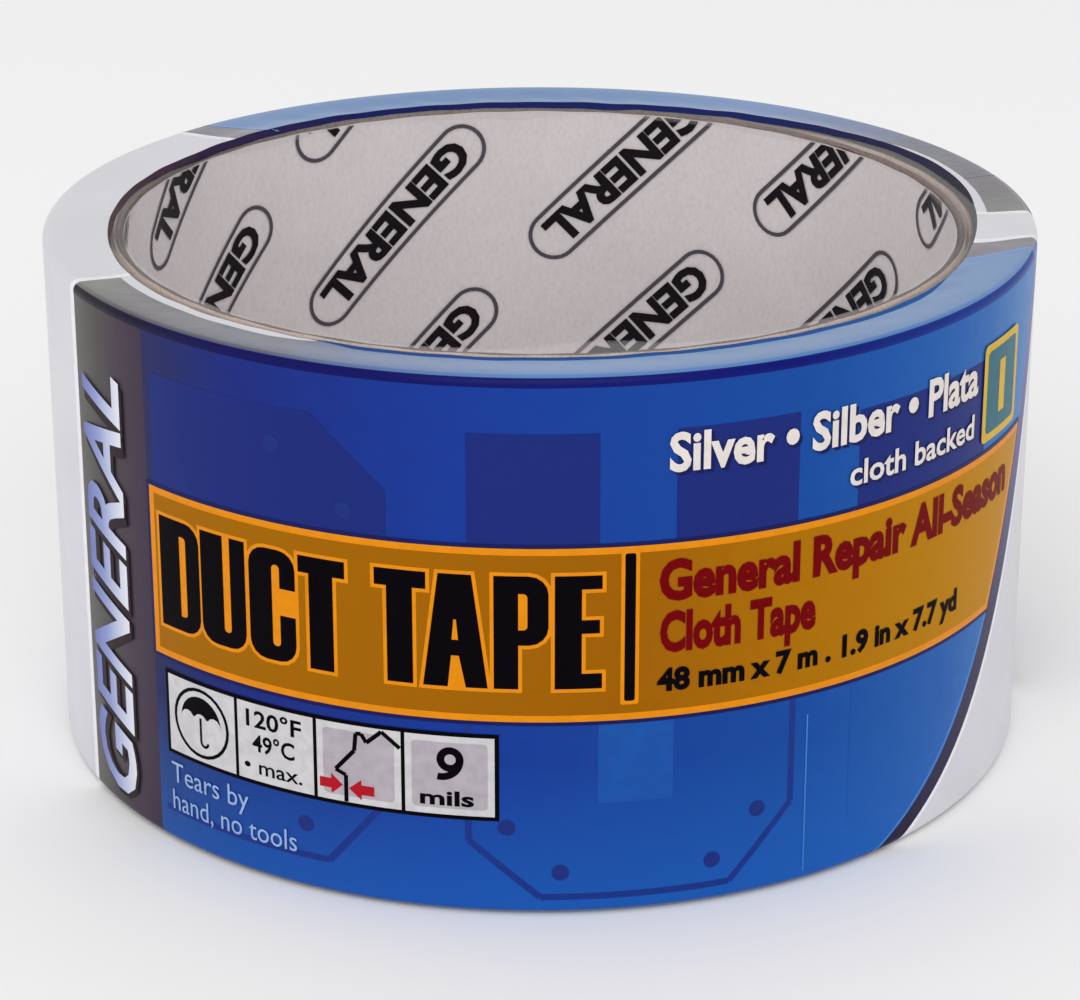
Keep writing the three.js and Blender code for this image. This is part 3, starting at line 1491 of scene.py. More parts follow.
@dataclass
class ShrinkSleeve:
    """The film itself: wall, end faces and the clear margin past the printing's edge."""

    sizes: RollSizes
    surface: FilmSurface
    columns: int = 432
    wall_rows: int = 8
    lip_rows: int = 12
    lip_end: float = 37.2
    lip_front: float = 2.7
    lip_least: float = 0.6
    lip_waves: tuple[Wave, ...] = (Wave(9, 0.22, 0.5), Wave(17, 0.16, 1.1))

    def lip_length(self, angle: float) -> float:
        """How far the clear margin runs on past the printing's edge.

        Args:
            angle: The angle round the roll, 0 at the front.

        Returns:
            The length in millimetres.
        """
        surface = self.surface
        end = self.lip_end - self.lip_front * surface.front.at(angle)
        end += sum(wave.at(angle) for wave in self.lip_waves)
        return max(surface.edge_radius(angle) - end, self.lip_least)

    def rows(self) -> list[tuple[bool, float]]:
        """The rows of the upper half, from above the middle of the wall to the film's edge.

        Returns:
            For each row, whether it is in the clear margin, and its up coordinate or its share of the margin.
        """
        surface = self.surface
        middle = surface.height / 2
        wall = [middle + (surface.top_of_wall - middle) * (step + 1) / self.wall_rows
                for step in range(self.wall_rows - 1)]
        margin = [(True, (step + 1) / self.lip_rows) for step in range(self.lip_rows)]
        return [(False, up) for up in wall + surface.creases()] + margin

    def upper(self, in_margin: bool, value: float, angle: float) -> Vector:
        """A place on the upper half of the film.

        Args:
            in_margin: Whether it is in the clear margin.
            value: Its up coordinate, or its share of the margin.
            angle: The angle round the roll.

        Returns:
            The place, in metres.
        """
        surface = self.surface
        if not in_margin:
            return surface.place(angle * surface.radius, value)
        run = surface.run_to(surface.edge_radius(angle)) + value * self.lip_length(angle)
        return surface.spot(angle, surface.laid(angle, run))

    def build(self) -> bpy.types.Object:
        """Makes the film as one closed thin wall.

        Returns:
            The sleeve.
        """
        surface = self.surface
        half = self.rows()
        count = len(half)
        bm = sheet_grid(self.columns, 2 * count)

        def place(share_round: float, share_up: float) -> Vector:
            """Where a place on the grid goes.

            Args:
                share_round: The share of a full turn.
                share_up: The share of the way from the lower free edge to the upper.

            Returns:
                The place, in metres.
            """
            angle = share_round * 2 * math.pi
            row = round(share_up * 2 * count) - count
            if row == 0:
                return surface.place(angle * surface.radius, surface.height / 2)
            if row > 0:
                return self.upper(*half[row - 1], angle)
            spot = self.upper(*half[-row - 1], angle + surface.under_turn)
            return surface.spot(angle, (spot.xy.length / MM, surface.height - spot.z / MM))

        for face in bm.faces:
            row = math.floor(abs(face.calc_center_median().y * 2 * count - count))
            in_margin, up = half[row]
            face.material_index = 2 if in_margin else int(surface.loose(up))
        mesh = sheet_to_wall(bm, "sleeve_film", place, self.sizes.film * MM,
                             (2 * math.pi * surface.radius, surface.height), True)
        films = [WhiteFilm().build(Lie.TIGHT), WhiteFilm().build(Lie.LOOSE), ClearFilm().build()]
        return hand_over(mesh, "sleeve_film", films, "sleeve_film", ["shrink_sleeve"])


@dataclass
class PanelPrint:
    """The printed panel, which comes twice round the sleeve with a white gap between the two.

    Each layer of ink lies a step above the one before it.  Places are flat ones on the film's surface.
    """

    surface: FilmSurface
    pitch_angle: float = math.radians(152.7)
    ink_step: float = 0.006
    left: float = -49.4
    field_left: float = -37.5
    rim_gap: float = 1.0
    edge_line: float = 0.9
    sweep_left: tuple[float, ...] = (31.6, 41.0, 49.8, 60.5)
    sweep_right: tuple[float, ...] = (34.6, 43.4, 52.6, 63.4)
    sweep_steps: int = 26
    sweep_under: float = 9.0
    rim_left: float = 56.0
    rim_width: float = 5.0
    corner_reflection_band: Point = (-0.2, 0.62)
    corner_right: float = 59.8
    plates_drawn: tuple[tuple[Point, ...], ...] = (
        ((-36.6, 3.2), (-18.4, 3.2), (-12.9, 9.8), (-12.7, 37.8), (-19.2, 43.7), (-36.6, 43.7)),
        ((-6.0, 6.8), (0.0, 1.6), (16.4, 1.6), (22.1, 8.0), (22.1, 43.3), (11.2, 43.3), (11.2, 10.3),
         (4.85, 10.3), (4.85, 43.3), (-6.0, 43.3)),
        ((28.2, 4.0), (35.5, 4.0), (41.0, 10.0), (44.2, 17.0), (46.0, 24.0), (46.0, 42.3), (28.2, 42.3)),
    )
    plate_line: float = 0.6
    rivets: tuple[Point, ...] = (
        (-2.8, 8.1), (1.7, 3.9), (14.8, 3.9), (18.9, 8.0), (-20.6, 6.2), (-16.2, 11.4), (-23.0, 40.4),
        (-16.4, 35.6),
    )
    rivet_radius: float = 0.75
    band_foot: float = 17.9
    band_top: float = 33.4
    band_gap: float = 0.3
    title_foot: float = 20.9
    title_cap: float = 10.1
    title_halo: float = 0.32
    title: tuple[tuple[str, float, float], ...] = (
        ("D", -36.0, -31.1), ("U", -30.9, -26.0), ("C", -25.6, -21.0), ("T", -20.7, -16.4),
        ("T", -13.8, -9.4), ("A", -9.7, -4.3), ("P", -3.8, 0.7), ("E", 1.2, 5.1),
    )
    tile_foot: float = 8.9
    tile_top: float = 16.5
    tile_edges: tuple[float, ...] = (-35.8, -27.5, -19.5, -11.55, -3.6)
    tile_words: tuple[TextLine, ...] = (
        TextLine("120°F", -26.4, -20.8, 14.1, 1.6, 0.02), TextLine("49°C", -25.8, -21.5, 11.85, 1.6, 0.02),
        TextLine("• max.", -26.7, -20.8, 9.75, 1.4, 0.01), TextLine("mils", -10.1, -5.5, 9.9, 1.4, 0.03),
    )
    tear: tuple[Point, ...] = (
        (-16.65, 9.1), (-16.65, 11.6), (-17.6, 12.0), (-15.85, 14.0), (-15.7, 15.6), (-15.2, 15.65),
        (-14.75, 14.9), (-13.4, 16.1), (-11.8, 14.8),
    )
    tear_line: float = 0.38
    side_word: str = "GENERAL"
    side_place: Point = (-41.1, 1.9)
    side_length: float = 39.8
    side_cap: float = 6.9
    side_slant: float = 0.3
    layers: list[str] = field(default_factory=list)

    @property
    def over_top(self) -> float:
        """The up coordinate of the printing's edge on the upper end face."""
        return self.surface.edge

    @property
    def under_foot(self) -> float:
        """The same on the lower end face."""
        return self.surface.height - self.over_top

    def end_curve(self, share: float) -> list[Point]:
        """A line in the swept stripe that ends the panel on the right.

        Args:
            share: How far across the stripe, 0 on its left edge and 1 on its right.

        Returns:
            Its points from the lower end face to the upper.
        """
        heights = (0.0, 5.0, 12.8, self.surface.height)
        controls = [Vector((left + (right - left) * share, up))
                    for left, right, up in zip(self.sweep_left, self.sweep_right, heights)]
        swept = [tuple(point) for point in interpolate_bezier(*controls, self.sweep_steps)]
        under = (swept[0][0] - self.sweep_under, self.under_foot)
        return [under, *swept, (self.rim_left + self.rim_width * share, self.over_top)]

    def ink(self, art: Artwork, name: str, ink: Ink) -> None:
        """Wraps artwork as the next layer of ink, on both panels.

        Args:
            art: The artwork.
            name: The piece's name.
            ink: Its finish.
        """
        self.layers.append(name)
        lift = self.ink_step * len(self.layers)
        shift = self.pitch_angle * self.surface.radius
        art.wrap(self.surface, lift, name, ink, "sleeve_film", ["shrink_sleeve"], (0.0, shift))

    def shapes(self, name: str, ink: Ink, *outlines: Sequence[Point]) -> None:
        """Prints plain shapes as the next layer of ink.

        Args:
            name: The piece's name.
            ink: Its finish.
            *outlines: The shapes' closed outlines.
        """
        art = Artwork()
        for outline in outlines:
            art.outlines([outline])
        self.ink(art, name, ink)

    def lines(self, name: str, ink: Ink, *lines: TextLine, slip: float = 0.0) -> None:
        """Prints lines of text as the next layer of ink.

        Args:
            name: The piece's name.
            ink: Its finish.
            *lines: The lines.
            slip: How far they are moved to the right and down.
        """
        art = Artwork()
        for line in lines:
            art.text(line, Matrix.Translation((slip, -slip, 0)))
        self.ink(art, name, ink)

    def build(self) -> None:
        """Prints every layer, from the ground up."""
        self.grounds()
        self.plates()
        self.band()
        self.heading()
        self.icons()
        self.small_print()
        self.side_lettering()

    def grounds(self) -> None:
        """The white edges, the side stripe, the swept stripe, the blue field and a dark painted reflection at
        the corner.
        """
        top, foot, corner = self.over_top, self.under_foot, self.surface.top_of_wall
        short_top, short_foot = top - self.rim_gap, foot + self.rim_gap
        left_edge = box_outline(self.left - self.edge_line, foot, self.left, top)
        right_edge = self.end_curve(1.0) + self.end_curve(1.28)[::-1]
        self.shapes("print_white_edges", Ink.WHITE, left_edge, right_edge)
        stripe = box_outline(self.left, short_foot, self.field_left, short_top)
        self.shapes("print_side_stripe", Ink.STRIPE, stripe)
        self.shapes("print_end_stripe", Ink.END_STRIPE, self.end_curve(0.0) + self.end_curve(1.0)[::-1])
        blue = [(-20.0, top), (-26.0, short_top), (self.field_left, short_top), (self.field_left, short_foot),
                (-26.0, short_foot), (-20.0, foot), *self.end_curve(0.0)]
        self.shapes("print_blue_field", Ink.FIELD, blue)
        # A painted highlight down the swept stripe's left edge.
        self.shapes("painted_end_highlight", Ink.GLINT, self.end_curve(-0.2) + self.end_curve(-0.02)[::-1])
        # A dark painted reflection round the top corner, from just below the bend up over it.
        below, above = self.corner_reflection_band
        line = box_outline(self.left, corner + below, self.corner_right, corner + above)
        self.shapes("painted_corner_reflection", Ink.CORNER, line)

    def plates(self) -> None:
        """Riveted plates in a darker blue behind the band."""
        first, second, _ = self.plates_drawn
        self.shapes("print_plates", Ink.PLATE, *self.plates_drawn)
        upright = 17.6
        bars = ((first[0], first[1]), (first[1], first[2]), (second[0], second[1]), (second[1], second[2]),
                (second[2], second[3]), (second[3], (22.1, upright)), (second[0], (-6.0, upright)))
        outlines = [bar_outline(start, end, self.plate_line) for start, end in bars]
        self.shapes("print_plate_outlines", Ink.PLATE_LINE, *outlines)
        self.shapes("print_plate_gap", Ink.GAP, box_outline(4.85, 10.3, 11.2, self.band_foot))
        heads = [circle_outline(x, y, self.rivet_radius) for x, y in self.rivets]
        self.shapes("print_rivets", Ink.RIVET, *heads)
        self.shapes("print_hairline", Ink.GLINT, box_outline(23.55, 0.9, 23.7, 15.8))

    def band_shape(self, inset: float) -> list[Point]:
        """The amber band's outline.

        Args:
            inset: How far it is drawn in all round.

        Returns:
            Its points.
        """
        low, high = self.band_foot + inset, self.band_top - inset
        left = self.field_left + self.band_gap + inset
        side = [(x - inset, y) for x, y in self.end_curve(-0.15) if low < y < high]
        slope = (side[-1][0] - side[0][0]) / (side[-1][1] - side[0][1])
        first = (side[0][0] - slope * (side[0][1] - low), low)
        last = (side[-1][0] + slope * (high - side[-1][1]), high)
        return [(left, high), (left, low), first, *side, last]

    def band(self) -> None:
        """The amber band with its brighter edge and its dark rim."""
        self.shapes("print_band_rim", Ink.NAVY_LINE, self.band_shape(-0.35))
        self.shapes("print_band_edge", Ink.AMBER_EDGE, self.band_shape(0.0))
        self.shapes("print_band", Ink.AMBER, self.band_shape(0.6))

    def heading(self) -> None:
        """The title and the upright rule after it, over their own brighter halo."""
        letters = BlockLetters()
        for name, ink, shape, spread in (
            ("print_title_halo", Ink.AMBER_EDGE, letters.silhouette, self.title_halo),
            ("print_title", Ink.TITLE, letters.letter, 0.0),
        ):
            art = Artwork()
            for letter, left, right in self.title:
                place = Matrix.Translation((left, self.title_foot, 0)) @ Matrix.Scale(self.title_cap, 4)
                art.outlines(shape(letter, (right - left) / self.title_cap), place, spread / self.title_cap)
            art.outlines([box_outline(6.95 - spread, 19.6 - spread, 7.85 + spread, 32.8 + spread, 0.2)])
            self.ink(art, name, ink)

    def tile(self, left: float, right: float, inset: float, radius: float = 0.0) -> list[Point]:
        """The outline of a tile between two edges, drawn in all round."""
        return box_outline(left + inset, self.tile_foot + inset, right - inset, self.tile_top - inset, radius)

    def icons(self) -> None:
        """The strip of four care tiles under the band."""
        edges = self.tile_edges
        tiles = list(zip(edges, edges[1:]))
        self.shapes("print_tile_frame", Ink.TITLE, self.tile(edges[0], edges[-1], -0.2))
        self.shapes("print_tiles", Ink.TILE, *(self.tile(*sides, 0.17) for sides in tiles))
        self.shapes("print_tile_greys", Ink.TILE_GREY, *(self.tile(*sides, 0.75, 0.4) for sides in tiles[2:]))
        black = Artwork()
        self.umbrella(black, -31.65, 12.7, 3.3)
        for line in self.tile_words:
            black.text(line)
        for start, end in zip(self.tear, self.tear[1:]):
            black.outlines([bar_outline(start, end, self.tear_line)])
        self.figure_nine(black, -7.5, 14.2)
        self.ink(black, "print_tile_drawings", Ink.TITLE)
        self.shapes("print_tile_arrows", Ink.ARROW, self.arrow(-16.95, -19.1, 10.6),
                    self.arrow(-16.4, -14.1, 10.4))

    def arrow(self, tip: float, tail: float, middle: float, head: float = 0.95,
              shaft: float = 0.45) -> list[Point]:
        """A level arrow.

        Args:
            tip: Where its tip is along.
            tail: Where its tail is along.
            middle: Its height.
            head: Half of the head's width.
            shaft: Half of the shaft's width.

        Returns:
            Its outline.
        """
        neck = (tip + tail) / 2
        upper = [(tip, middle), (neck, middle + head), (neck, middle + shaft), (tail, middle + shaft)]
        return upper + [(x, 2 * middle - y) for x, y in upper[:0:-1]]

    def figure_nine(self, art: Artwork, x: float, y: float, bowl: float = 1.15) -> None:
        """A bold 9 with a round bowl and a swept tail.

        Args:
            art: The artwork to draw in.
            x: The bowl's centre along.
            y: The bowl's centre up.
            bowl: The bowl's outer radius.
        """
        hole, tail_out, tail_in, sweep = bowl * 0.42, 1.95, 1.3, 1.75
        art.outlines([circle_outline(x, y, bowl), circle_outline(x, y, hole)])
        centre = x + bowl - tail_out
        outer = circle_outline(centre, y, tail_out, 0.0, -sweep, 12)
        inner = circle_outline(centre, y, tail_in, -sweep, sweep, 12)
        art.outlines([outer + inner])

    def umbrella(self, art: Artwork, x: float, y: float, radius: float) -> None:
        """An umbrella in a ring, for keep dry.

        Args:
            art: The artwork to draw in.
            x: The ring's centre along.
            y: The ring's centre up.
            radius: The ring's outer radius.
        """
        line, stick = 0.32, 0.13
        art.outlines([circle_outline(x, y, radius), circle_outline(x, y, radius - line)])
        canopy, hem_height = radius * 0.72, y + 0.1
        hem = circle_outline(x, hem_height, canopy, 0.0, math.pi, 14)
        for side in (1, 0, -1):
            arc = circle_outline(x - side * canopy * 2 / 3, hem_height, canopy / 3, math.pi, -math.pi, 6)
            hem.extend(arc[1:-1])
        art.outlines([hem])
        hook, hook_out, hook_foot = x + 0.42, 0.55, y - 1.7
        hook_in = hook_out - 2 * stick
        art.outlines([box_outline(x - stick, hook_foot, x + stick, y + 0.5)])
        art.outlines([circle_outline(hook, hook_foot, hook_out, math.pi, math.pi, 8)
                      + circle_outline(hook, hook_foot, hook_in, 0.0, -math.pi, 8)])

    def small_print(self) -> None:
        """The lines of text in red, black, cream and pale blue, and the badge."""
        self.lines("print_red_lines", Ink.RED,
                   TextLine("General Repair All-Season", 9.8, 51.4, 28.3, 3.7, 0.045),
                   TextLine("Cloth Tape", 9.9, 24.1, 23.7, 3.7, 0.045))
        self.lines("print_size_line", Ink.TITLE,
                   TextLine("48 mm x 7 m . 1.9 in x 7.7 yd", 9.7, 42.0, 20.2, 2.1, 0.045))
        for name, ink, slip in (("print_colour_line_shadow", Ink.NAVY_LINE, 0.3),
                                ("print_colour_line", Ink.CREAM, 0.0)):
            self.lines(name, ink, TextLine("Silver • Silber • Plata", 10.5, 44.0, 39.6, 3.4, 0.03),
                       TextLine("cloth backed", 27.2, 43.6, 35.7, 2.2, 0.02), slip=slip)
        self.lines("print_pale_lines", Ink.PALE, TextLine("Tears by", -35.6, -26.4, 6.0, 1.9),
                   TextLine("hand, no tools", -35.6, -21.5, 3.3, 1.9))
        self.shapes("print_badge_edge", Ink.BADGE, box_outline(45.1, 34.5, 53.0, 43.5, 0.6))
        self.shapes("print_badge_ground", Ink.BADGE_GROUND, box_outline(45.8, 35.2, 52.3, 42.8, 0.5))
        self.lines("print_badge_figure", Ink.BADGE, TextLine("1", 48.4, 49.7, 36.6, 4.8, 0.02))

    def side_lettering(self) -> None:
        """The large word that runs up the grey stripe, light letters on a dark shadow."""
        for name, ink, slip, weight in (("print_side_shadow", Ink.SIDE_SHADOW, 0.4, 0.05),
                                        ("print_side_letters", Ink.LETTERING, 0.0, 0.02)):
            art = Artwork()
            word = TextLine(self.side_word, 0.0, self.side_length, 0.0, self.side_cap, weight,
                            self.side_slant)
            place = Matrix.Translation((self.side_place[0] + slip, self.side_place[1] - slip, 0))
            art.text(word, place @ Matrix.Rotation(math.pi / 2, 4, "Z"))
            self.ink(art, name, ink)


@dataclass
class RimShade:
    """The darker line along the film's free edge, round both end faces: painted shade where the film stands
    off the core and turns down towards it.

    Rows give an angle in degrees from the front, and where the line starts and ends from the printing's edge.
    """

    surface: FilmSurface
    lift: float = 0.03
    front: tuple[tuple[float, float, float], ...] = (
        (-28.0, 0.0, 0.02), (-22.0, -0.7, 0.02), (52.0, -0.7, 0.02), (62.0, 0.0, 0.02),
    )
    back: tuple[tuple[float, float, float], ...] = (
        (94.0, 0.0, 0.1), (102.0, -0.1, 1.2), (112.0, -0.1, 2.2), (126.0, -0.2, 2.3), (138.0, -0.5, 1.7),
        (150.0, -0.8, 0.8), (165.0, -1.0, 0.2), (180.0, -1.1, 0.1), (215.0, -1.1, 0.1), (228.0, -0.8, 0.2),
        (240.0, -0.3, 0.4), (252.0, -0.1, 0.6), (266.0, 0.0, 0.6), (276.0, 0.0, 0.4), (286.0, 0.0, 0.05),
    )

    def build(self) -> None:
        """Draws the line on the upper end face and, turned over, on the lower."""
        art = Artwork()
        per_degree = math.radians(self.surface.radius)
        for rows in (self.front, self.back):
            outer = [(angle * per_degree, start) for angle, start, _ in rows]
            inner = [(angle * per_degree, end) for angle, _, end in rows]
            loop = outer + inner[::-1]
            art.outlines([[(along, self.surface.edge + up) for along, up in loop]])
            art.outlines([[(along, self.surface.height - self.surface.edge - up) for along, up in loop]])
        art.wrap(self.surface, self.lift, "rim_shade", Ink.RIM_SHADE, "sleeve_film", ["shrink_sleeve"])


@dataclass
class PaperCore:
    """The core's five plies and the print on its liner.

    Each ply is a tube with a slanted butt seam, and its ends are slightly ragged from the saw.  The liner's
    words stand in slanting rows, each in a rounded outline.
    """

    sizes: RollSizes
    surface: FilmSurface
    seam_gap: float = 0.3
    seam_start: float = math.radians(-126)
    seam_slope: float = 1.0
    seam_spacing: float = math.radians(72)
    end_clearance: float = 0.03
    liner_drop: float = 0.4
    ragged: Wave = Wave(37, 0.03)
    ragged_power: int = 9
    columns: int = 300
    rows: int = 24
    word: str = "GENERAL"
    word_cap: float = 3.4
    word_weight: float = 0.045
    first_pill: Point = (-15.55, 36.25)
    pill_across: Point = (24.3, 5.1)
    pill_up: Point = (-1.2, 17.7)
    pill_turn: float = math.radians(225)
    pill_length: float = 26.0
    pill_width: float = 5.3
    pill_line: float = 0.42
    end_room: float = 0.3
    print_reach: float = 118.0
    print_overhang: float = 8.0
    print_gap: float = 0.1

    def build(self) -> None:
        """Makes the plies and the liner's print."""
        board = Chipboard("tan_chipboard", print_colour(236, 216, 206), print_colour(214, 190, 176)).build()
        # Darker brown for the inner board ply: the board's own colour, darkened further as painted shade at
        # the bore's top corner.
        shaded_brown_board = Chipboard("brown_chipboard_painted_shade", print_colour(134, 104, 94), print_colour(102, 74, 66)).build()
        face = Paper("kraft_paper", print_colour(214, 190, 166), print_colour(190, 160, 130)).build()
        liner = Paper("liner_paper", print_colour(228, 221, 222), print_colour(220, 212, 213)).build()
        inner = self.sizes.bore_radius
        seams = (0, 1, 3, 5, 7)
        slots = ("liner_paper", "core_board", "core_board", "core_board", "face_paper")
        finishes = (liner, shaded_brown_board, board, board, face)
        for (node, outer), seam, slot, finish in zip(self.sizes.ply_radii.items(), seams, slots, finishes):
            self.ply(node, inner, outer, seam, slot, finish)
            inner = outer + self.sizes.glue_line
        self.liner_print()

    def seam_angle(self, seam: int, height: float, radius: float) -> float:
        """Angle from +X of a ply's seam at a height, in radians."""
        return self.seam_start + seam * self.seam_spacing + self.seam_slope * height / radius

    def ply(self, node: str, inner: float, outer: float, seam: int, slot: str,
            finish: bpy.types.Material) -> bpy.types.Object:
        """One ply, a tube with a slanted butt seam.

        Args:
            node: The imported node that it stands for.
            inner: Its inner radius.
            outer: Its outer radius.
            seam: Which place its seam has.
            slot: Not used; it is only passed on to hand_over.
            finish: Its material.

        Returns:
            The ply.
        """
        short = self.sizes.film + self.surface.sag + self.end_clearance
        if seam == 0:
            short += self.liner_drop
        foot, top = short, self.sizes.height - short
        gap = self.seam_gap / inner

        def place(share_round: float, share_up: float) -> Vector:
            """Where a place on the grid goes, on the ply's outer face.

            Args:
                share_round: The share of the way round from seam to seam.
                share_up: The share of the way up.

            Returns:
                The place, in metres.
            """
            height = foot + (top - foot) * share_up
            angle = self.seam_angle(seam, height, inner) + gap / 2 + (2 * math.pi - gap) * share_round
            height += self.ragged.at(angle, seam) * (2 * share_up - 1) ** self.ragged_power
            return Vector((outer * math.cos(angle), outer * math.sin(angle), height)) * MM

        grid = sheet_grid(self.columns, self.rows)
        flat_size = (2 * math.pi * inner, top - foot)
        mesh = sheet_to_wall(grid, f"{node}_paper", place, (outer - inner) * MM, flat_size, False)
        return hand_over(mesh, f"{node}_paper", [finish], slot, [node])

    def pill_centres(self) -> list[Point]:
        """Works out where the liner's words stand.

        Returns:
            Their middles, flat on the liner.
        """
        centres = []
        for across in range(-6, 7):
            for up in range(-4, 6):
                x, y = (first + across * step + up * rise for first, step, rise
                        in zip(self.first_pill, self.pill_across, self.pill_up))
                on_liner = -self.print_overhang < y < self.sizes.height + self.print_overhang
                if on_liner and abs(x) <= self.print_reach:
                    centres.append((x, y))
        return centres

    def liner_print(self) -> None:
        """Slanting outlined words all over the liner."""
        bore = BoreSurface(self.sizes.bore_radius)
        end = self.sizes.film + self.surface.sag + self.liner_drop + self.print_gap
        half = (self.pill_length - self.pill_width) / 2 + self.end_room
        word = TextLine(self.word, -half, half, -self.word_cap / 2, self.word_cap, self.word_weight)
        outlines, words = Artwork(), Artwork()
        for centre in self.pill_centres():
            turn = Matrix.Translation((*centre, 0)) @ Matrix.Rotation(self.pill_turn, 4, "Z")
            outlines.outlines([self.pill(0.0), self.pill(self.pill_line)], turn)
            words.text(word, turn)
        for art, name, ink, lift in ((outlines, "liner_pill_outlines", Ink.LINER_GREY, 0.01),
                                     (words, "liner_words", Ink.LINER_BLACK, 0.018)):
            art.cut((0, self.sizes.height - end), (0, 1))
            art.cut((0, end), (0, -1))
            art.wrap(bore, lift, name, ink, "liner_paper", ["core_liner_ply"])

    def pill(self, inset: float) -> list[Point]:
        """The rounded outline round one word, drawn in by an inset."""
        half, rise = self.pill_length / 2 - inset, self.pill_width / 2 - inset
        return box_outline(-half, -rise, half, rise, rise * 0.999, 7)


@dataclass
class TapeWinding:
    """The tape: its first turns as one strip, and its last turn in three layers.

    The outer turns' edges are pressed in by the film's tight corner.
    """

    sizes: RollSizes
    surface: FilmSurface
    turns: int = 25
    pitch: float = 0.214
    strip: float = 0.21
    adhesive: float = 0.1
    cloth: float = 0.045
    backing: float = 0.065
    facets: int = 96
    thread_pitch: float = 1.3
    crown: float = 0.9
    crown_inset: float = 0.15
    film_gap: float = 0.02
    squeeze: float = 0.98

    def build(self) -> None:
        """Makes the wound strip and the layers of the last turn."""
        pitch = self.thread_pitch
        edge = SlitEdge("slit_edge", print_colour(140, 142, 148), print_colour(104, 104, 108)).build()
        weave = Weave("backing_weave", print_colour(172, 174, 178), print_colour(156, 158, 162), pitch, 0.4,
                      0.00003, 0.25)
        scrim = Weave("gauze_scrim", print_colour(222, 216, 200), print_colour(168, 164, 152), pitch, 0.9,
                      0.00006)
        sticky = Weave("tacky_adhesive", print_colour(188, 182, 166), print_colour(178, 172, 156), pitch,
                       0.35, 0.00002)
        start = self.sizes.core_radius
        self.wind("wound_turns", start, self.strip, self.turns, edge, "tape_edge", "tape_windings")
        inner = start + self.turns * self.pitch
        for name, thickness, finish in (("adhesive", self.adhesive, sticky), ("cloth", self.cloth, scrim),
                                        ("backing", self.backing, weave)):
            self.wind(f"last_{name}_layer", inner, thickness, 1, finish.build(), f"tape_{name}",
                      f"last_turn_{name}")
            inner += thickness

    def half_width(self, radius: float) -> float:
        """Half of the strip's width, as far as the film leaves it room.

        Args:
            radius: The radius at which the strip lies.

        Returns:
            The half width in millimetres.
        """
        dip = self.surface.dip(self.surface.run_to(radius))
        full = self.sizes.height / 2 - self.sizes.film - self.film_gap - dip
        past = max(0.0, radius - (self.sizes.sleeve_radius - self.crown - self.crown_inset))
        return full - (self.crown - math.sqrt(max(0.0, self.crown ** 2 - past ** 2)))

    def wind(self, name: str, start: float, thickness: float, turns: int, finish: bpy.types.Material,
             slot: str, node: str) -> bpy.types.Object:
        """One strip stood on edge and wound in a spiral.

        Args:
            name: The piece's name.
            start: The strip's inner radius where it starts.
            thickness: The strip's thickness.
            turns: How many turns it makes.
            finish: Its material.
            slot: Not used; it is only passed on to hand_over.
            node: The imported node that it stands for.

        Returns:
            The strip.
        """
        middle = self.sizes.height / 2

        def place(share_round: float, share_up: float) -> Vector:
            """Where a place on the grid goes, on the strip's outer face.

            Args:
                share_round: The share of the strip's whole length.
                share_up: The share of the way up.

            Returns:
                The place, in metres.
            """
            angle = share_round * turns * 2 * math.pi
            radius = start + thickness + self.pitch * angle / (2 * math.pi)
            height = middle + self.half_width(radius) * (2 * share_up - 1)
            return Vector((radius * math.cos(angle), radius * math.sin(angle), height)) * MM

        grid = sheet_grid(turns * self.facets, 2)
        flat_size = (2 * math.pi * start * turns, 2 * middle)
        mesh = sheet_to_wall(grid, name, place, thickness * MM * self.squeeze, flat_size, False)
        return hand_over(mesh, name, [finish], slot, [node])


# ---------------------------------------------------------------- the studio

@dataclass(frozen=True)
class Softbox:
    """A square soft light, with its place and side in metres and its power in watts."""

    name: str
    place: tuple[float, float, float]
    size: float
    power: float

    def build(self, target: Vector) -> None:
        """Sets the light up.

        Args:
            target: What it faces.
        """
        data = bpy.data.lights.new(self.name, "AREA")
        data.size = self.size
        data.energy = self.power
        lamp = bpy.data.objects.new(self.name, data)
        lamp.location = self.place
        lamp.rotation_euler = (target - Vector(self.place)).to_track_quat("-Z", "Y").to_euler()
        lamp.visible_camera = False
        bpy.context.scene.collection.objects.link(lamp)


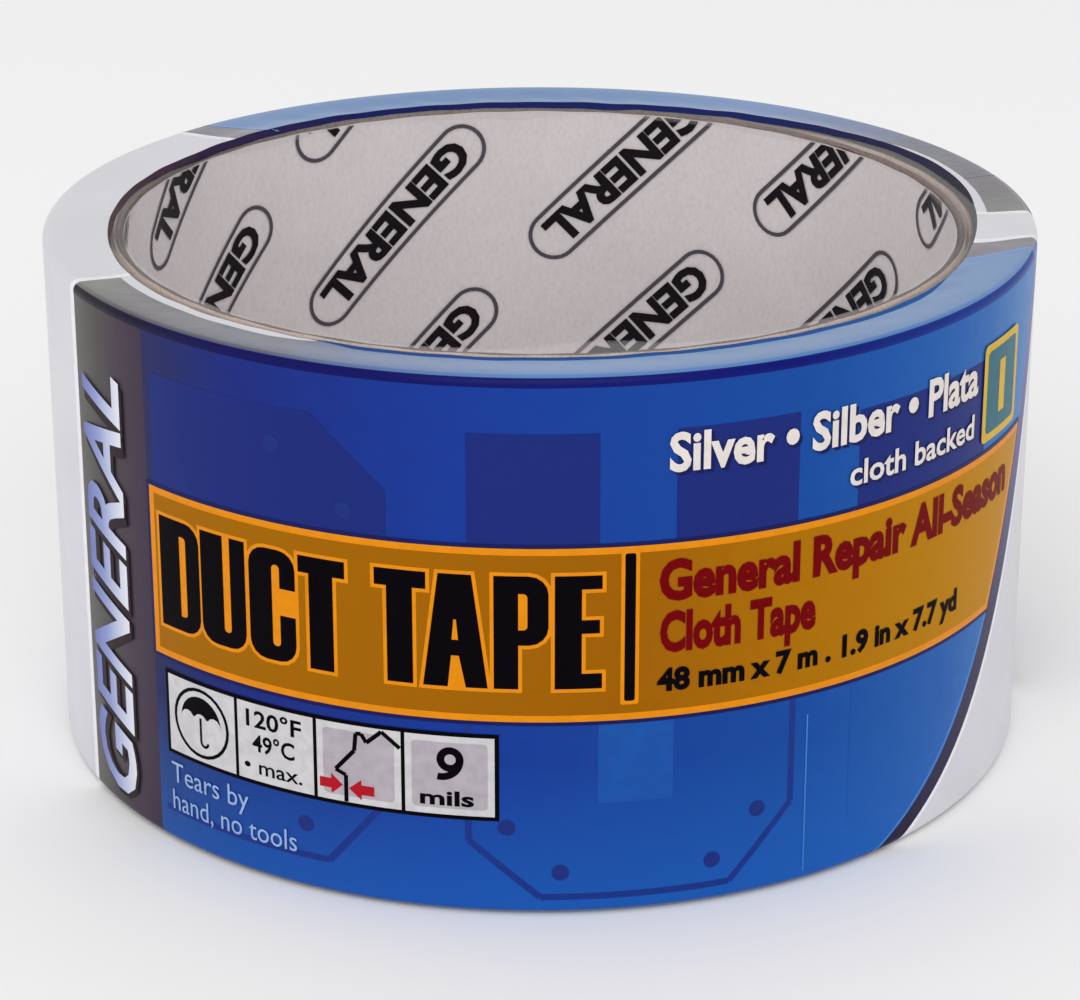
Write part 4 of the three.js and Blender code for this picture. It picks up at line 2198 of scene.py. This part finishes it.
@dataclass
class Studio:
    """Floor, light and camera."""

    target: Vector = field(default_factory=lambda: Vector((0, 0, 0.024)))
    distance: float = 0.3133
    elevation: float = math.radians(21.04)
    lens: float = 110.2
    sensor: float = 36.0
    shift_up: float = -0.0411
    clip_start: float = 0.01
    floor_radius: float = 6.0
    floor_drop: float = 0.0003
    sky_colour: Colour = (1.0, 1.0, 1.0)
    sky_strength: float = 0.735
    softboxes: tuple[Softbox, ...] = (
        Softbox("key_light", (0.0, -0.9, 0.58), 0.9, 3.8),
        Softbox("top_light", (0.0, 0.2, 1.0), 0.9, 0.6),
        Softbox("left_light", (-0.9, -0.35, 0.35), 0.7, 0.6),
    )

    def build(self) -> None:
        """Sets up the whole studio."""
        self.camera()
        self.floor()
        self.sky()
        for softbox in self.softboxes:
            softbox.build(self.target)

    def camera(self) -> None:
        """The camera, low in front of the printed panel."""
        data = bpy.data.cameras.new("camera")
        data.lens = self.lens
        data.sensor_width = self.sensor
        data.shift_y = self.shift_up
        data.clip_start = self.clip_start
        eye = self.target + Vector((0, -math.cos(self.elevation), math.sin(self.elevation))) * self.distance
        camera = bpy.data.objects.new("camera", data)
        camera.location = eye
        camera.rotation_euler = (self.target - eye).to_track_quat("-Z", "Y").to_euler()
        bpy.context.scene.collection.objects.link(camera)
        bpy.context.scene.camera = camera

    def floor(self) -> None:
        """A large round floor just under the roll."""
        bm = bmesh.new()
        bmesh.ops.create_circle(bm, cap_ends=True, segments=96, radius=self.floor_radius)
        bmesh.ops.translate(bm, verts=bm.verts, vec=(0, 0, -self.floor_drop))
        mesh = bpy.data.meshes.new("floor")
        bm.to_mesh(mesh)
        bm.free()
        mesh.materials.append(FloorPaint().build())
        floor = bpy.data.objects.new("floor", mesh)
        bpy.context.scene.collection.objects.link(floor)

    def sky(self) -> None:
        """An even pale surround."""
        world = bpy.data.worlds.new("surround")
        world.use_nodes = True
        ground = world.node_tree.nodes["Background"]
        ground.inputs["Color"].default_value = (*self.sky_colour, 1.0)
        ground.inputs["Strength"].default_value = self.sky_strength
        bpy.context.scene.world = world


def main() -> None:
    """Builds the roll and its studio in order."""
    logging.basicConfig(level=logging.INFO, format="%(name)s %(message)s")
    bpy.context.scene.view_settings.view_transform = "Standard"
    Studio().build()
    sizes = RollSizes.from_frame()
    surface = FilmSurface(sizes.sleeve_radius, sizes.height)
    PaperCore(sizes, surface).build()
    TapeWinding(sizes, surface).build()
    ShrinkSleeve(sizes, surface).build()
    PanelPrint(surface).build()
    RimShade(surface).build()


if __name__ == "__main__":
    main()
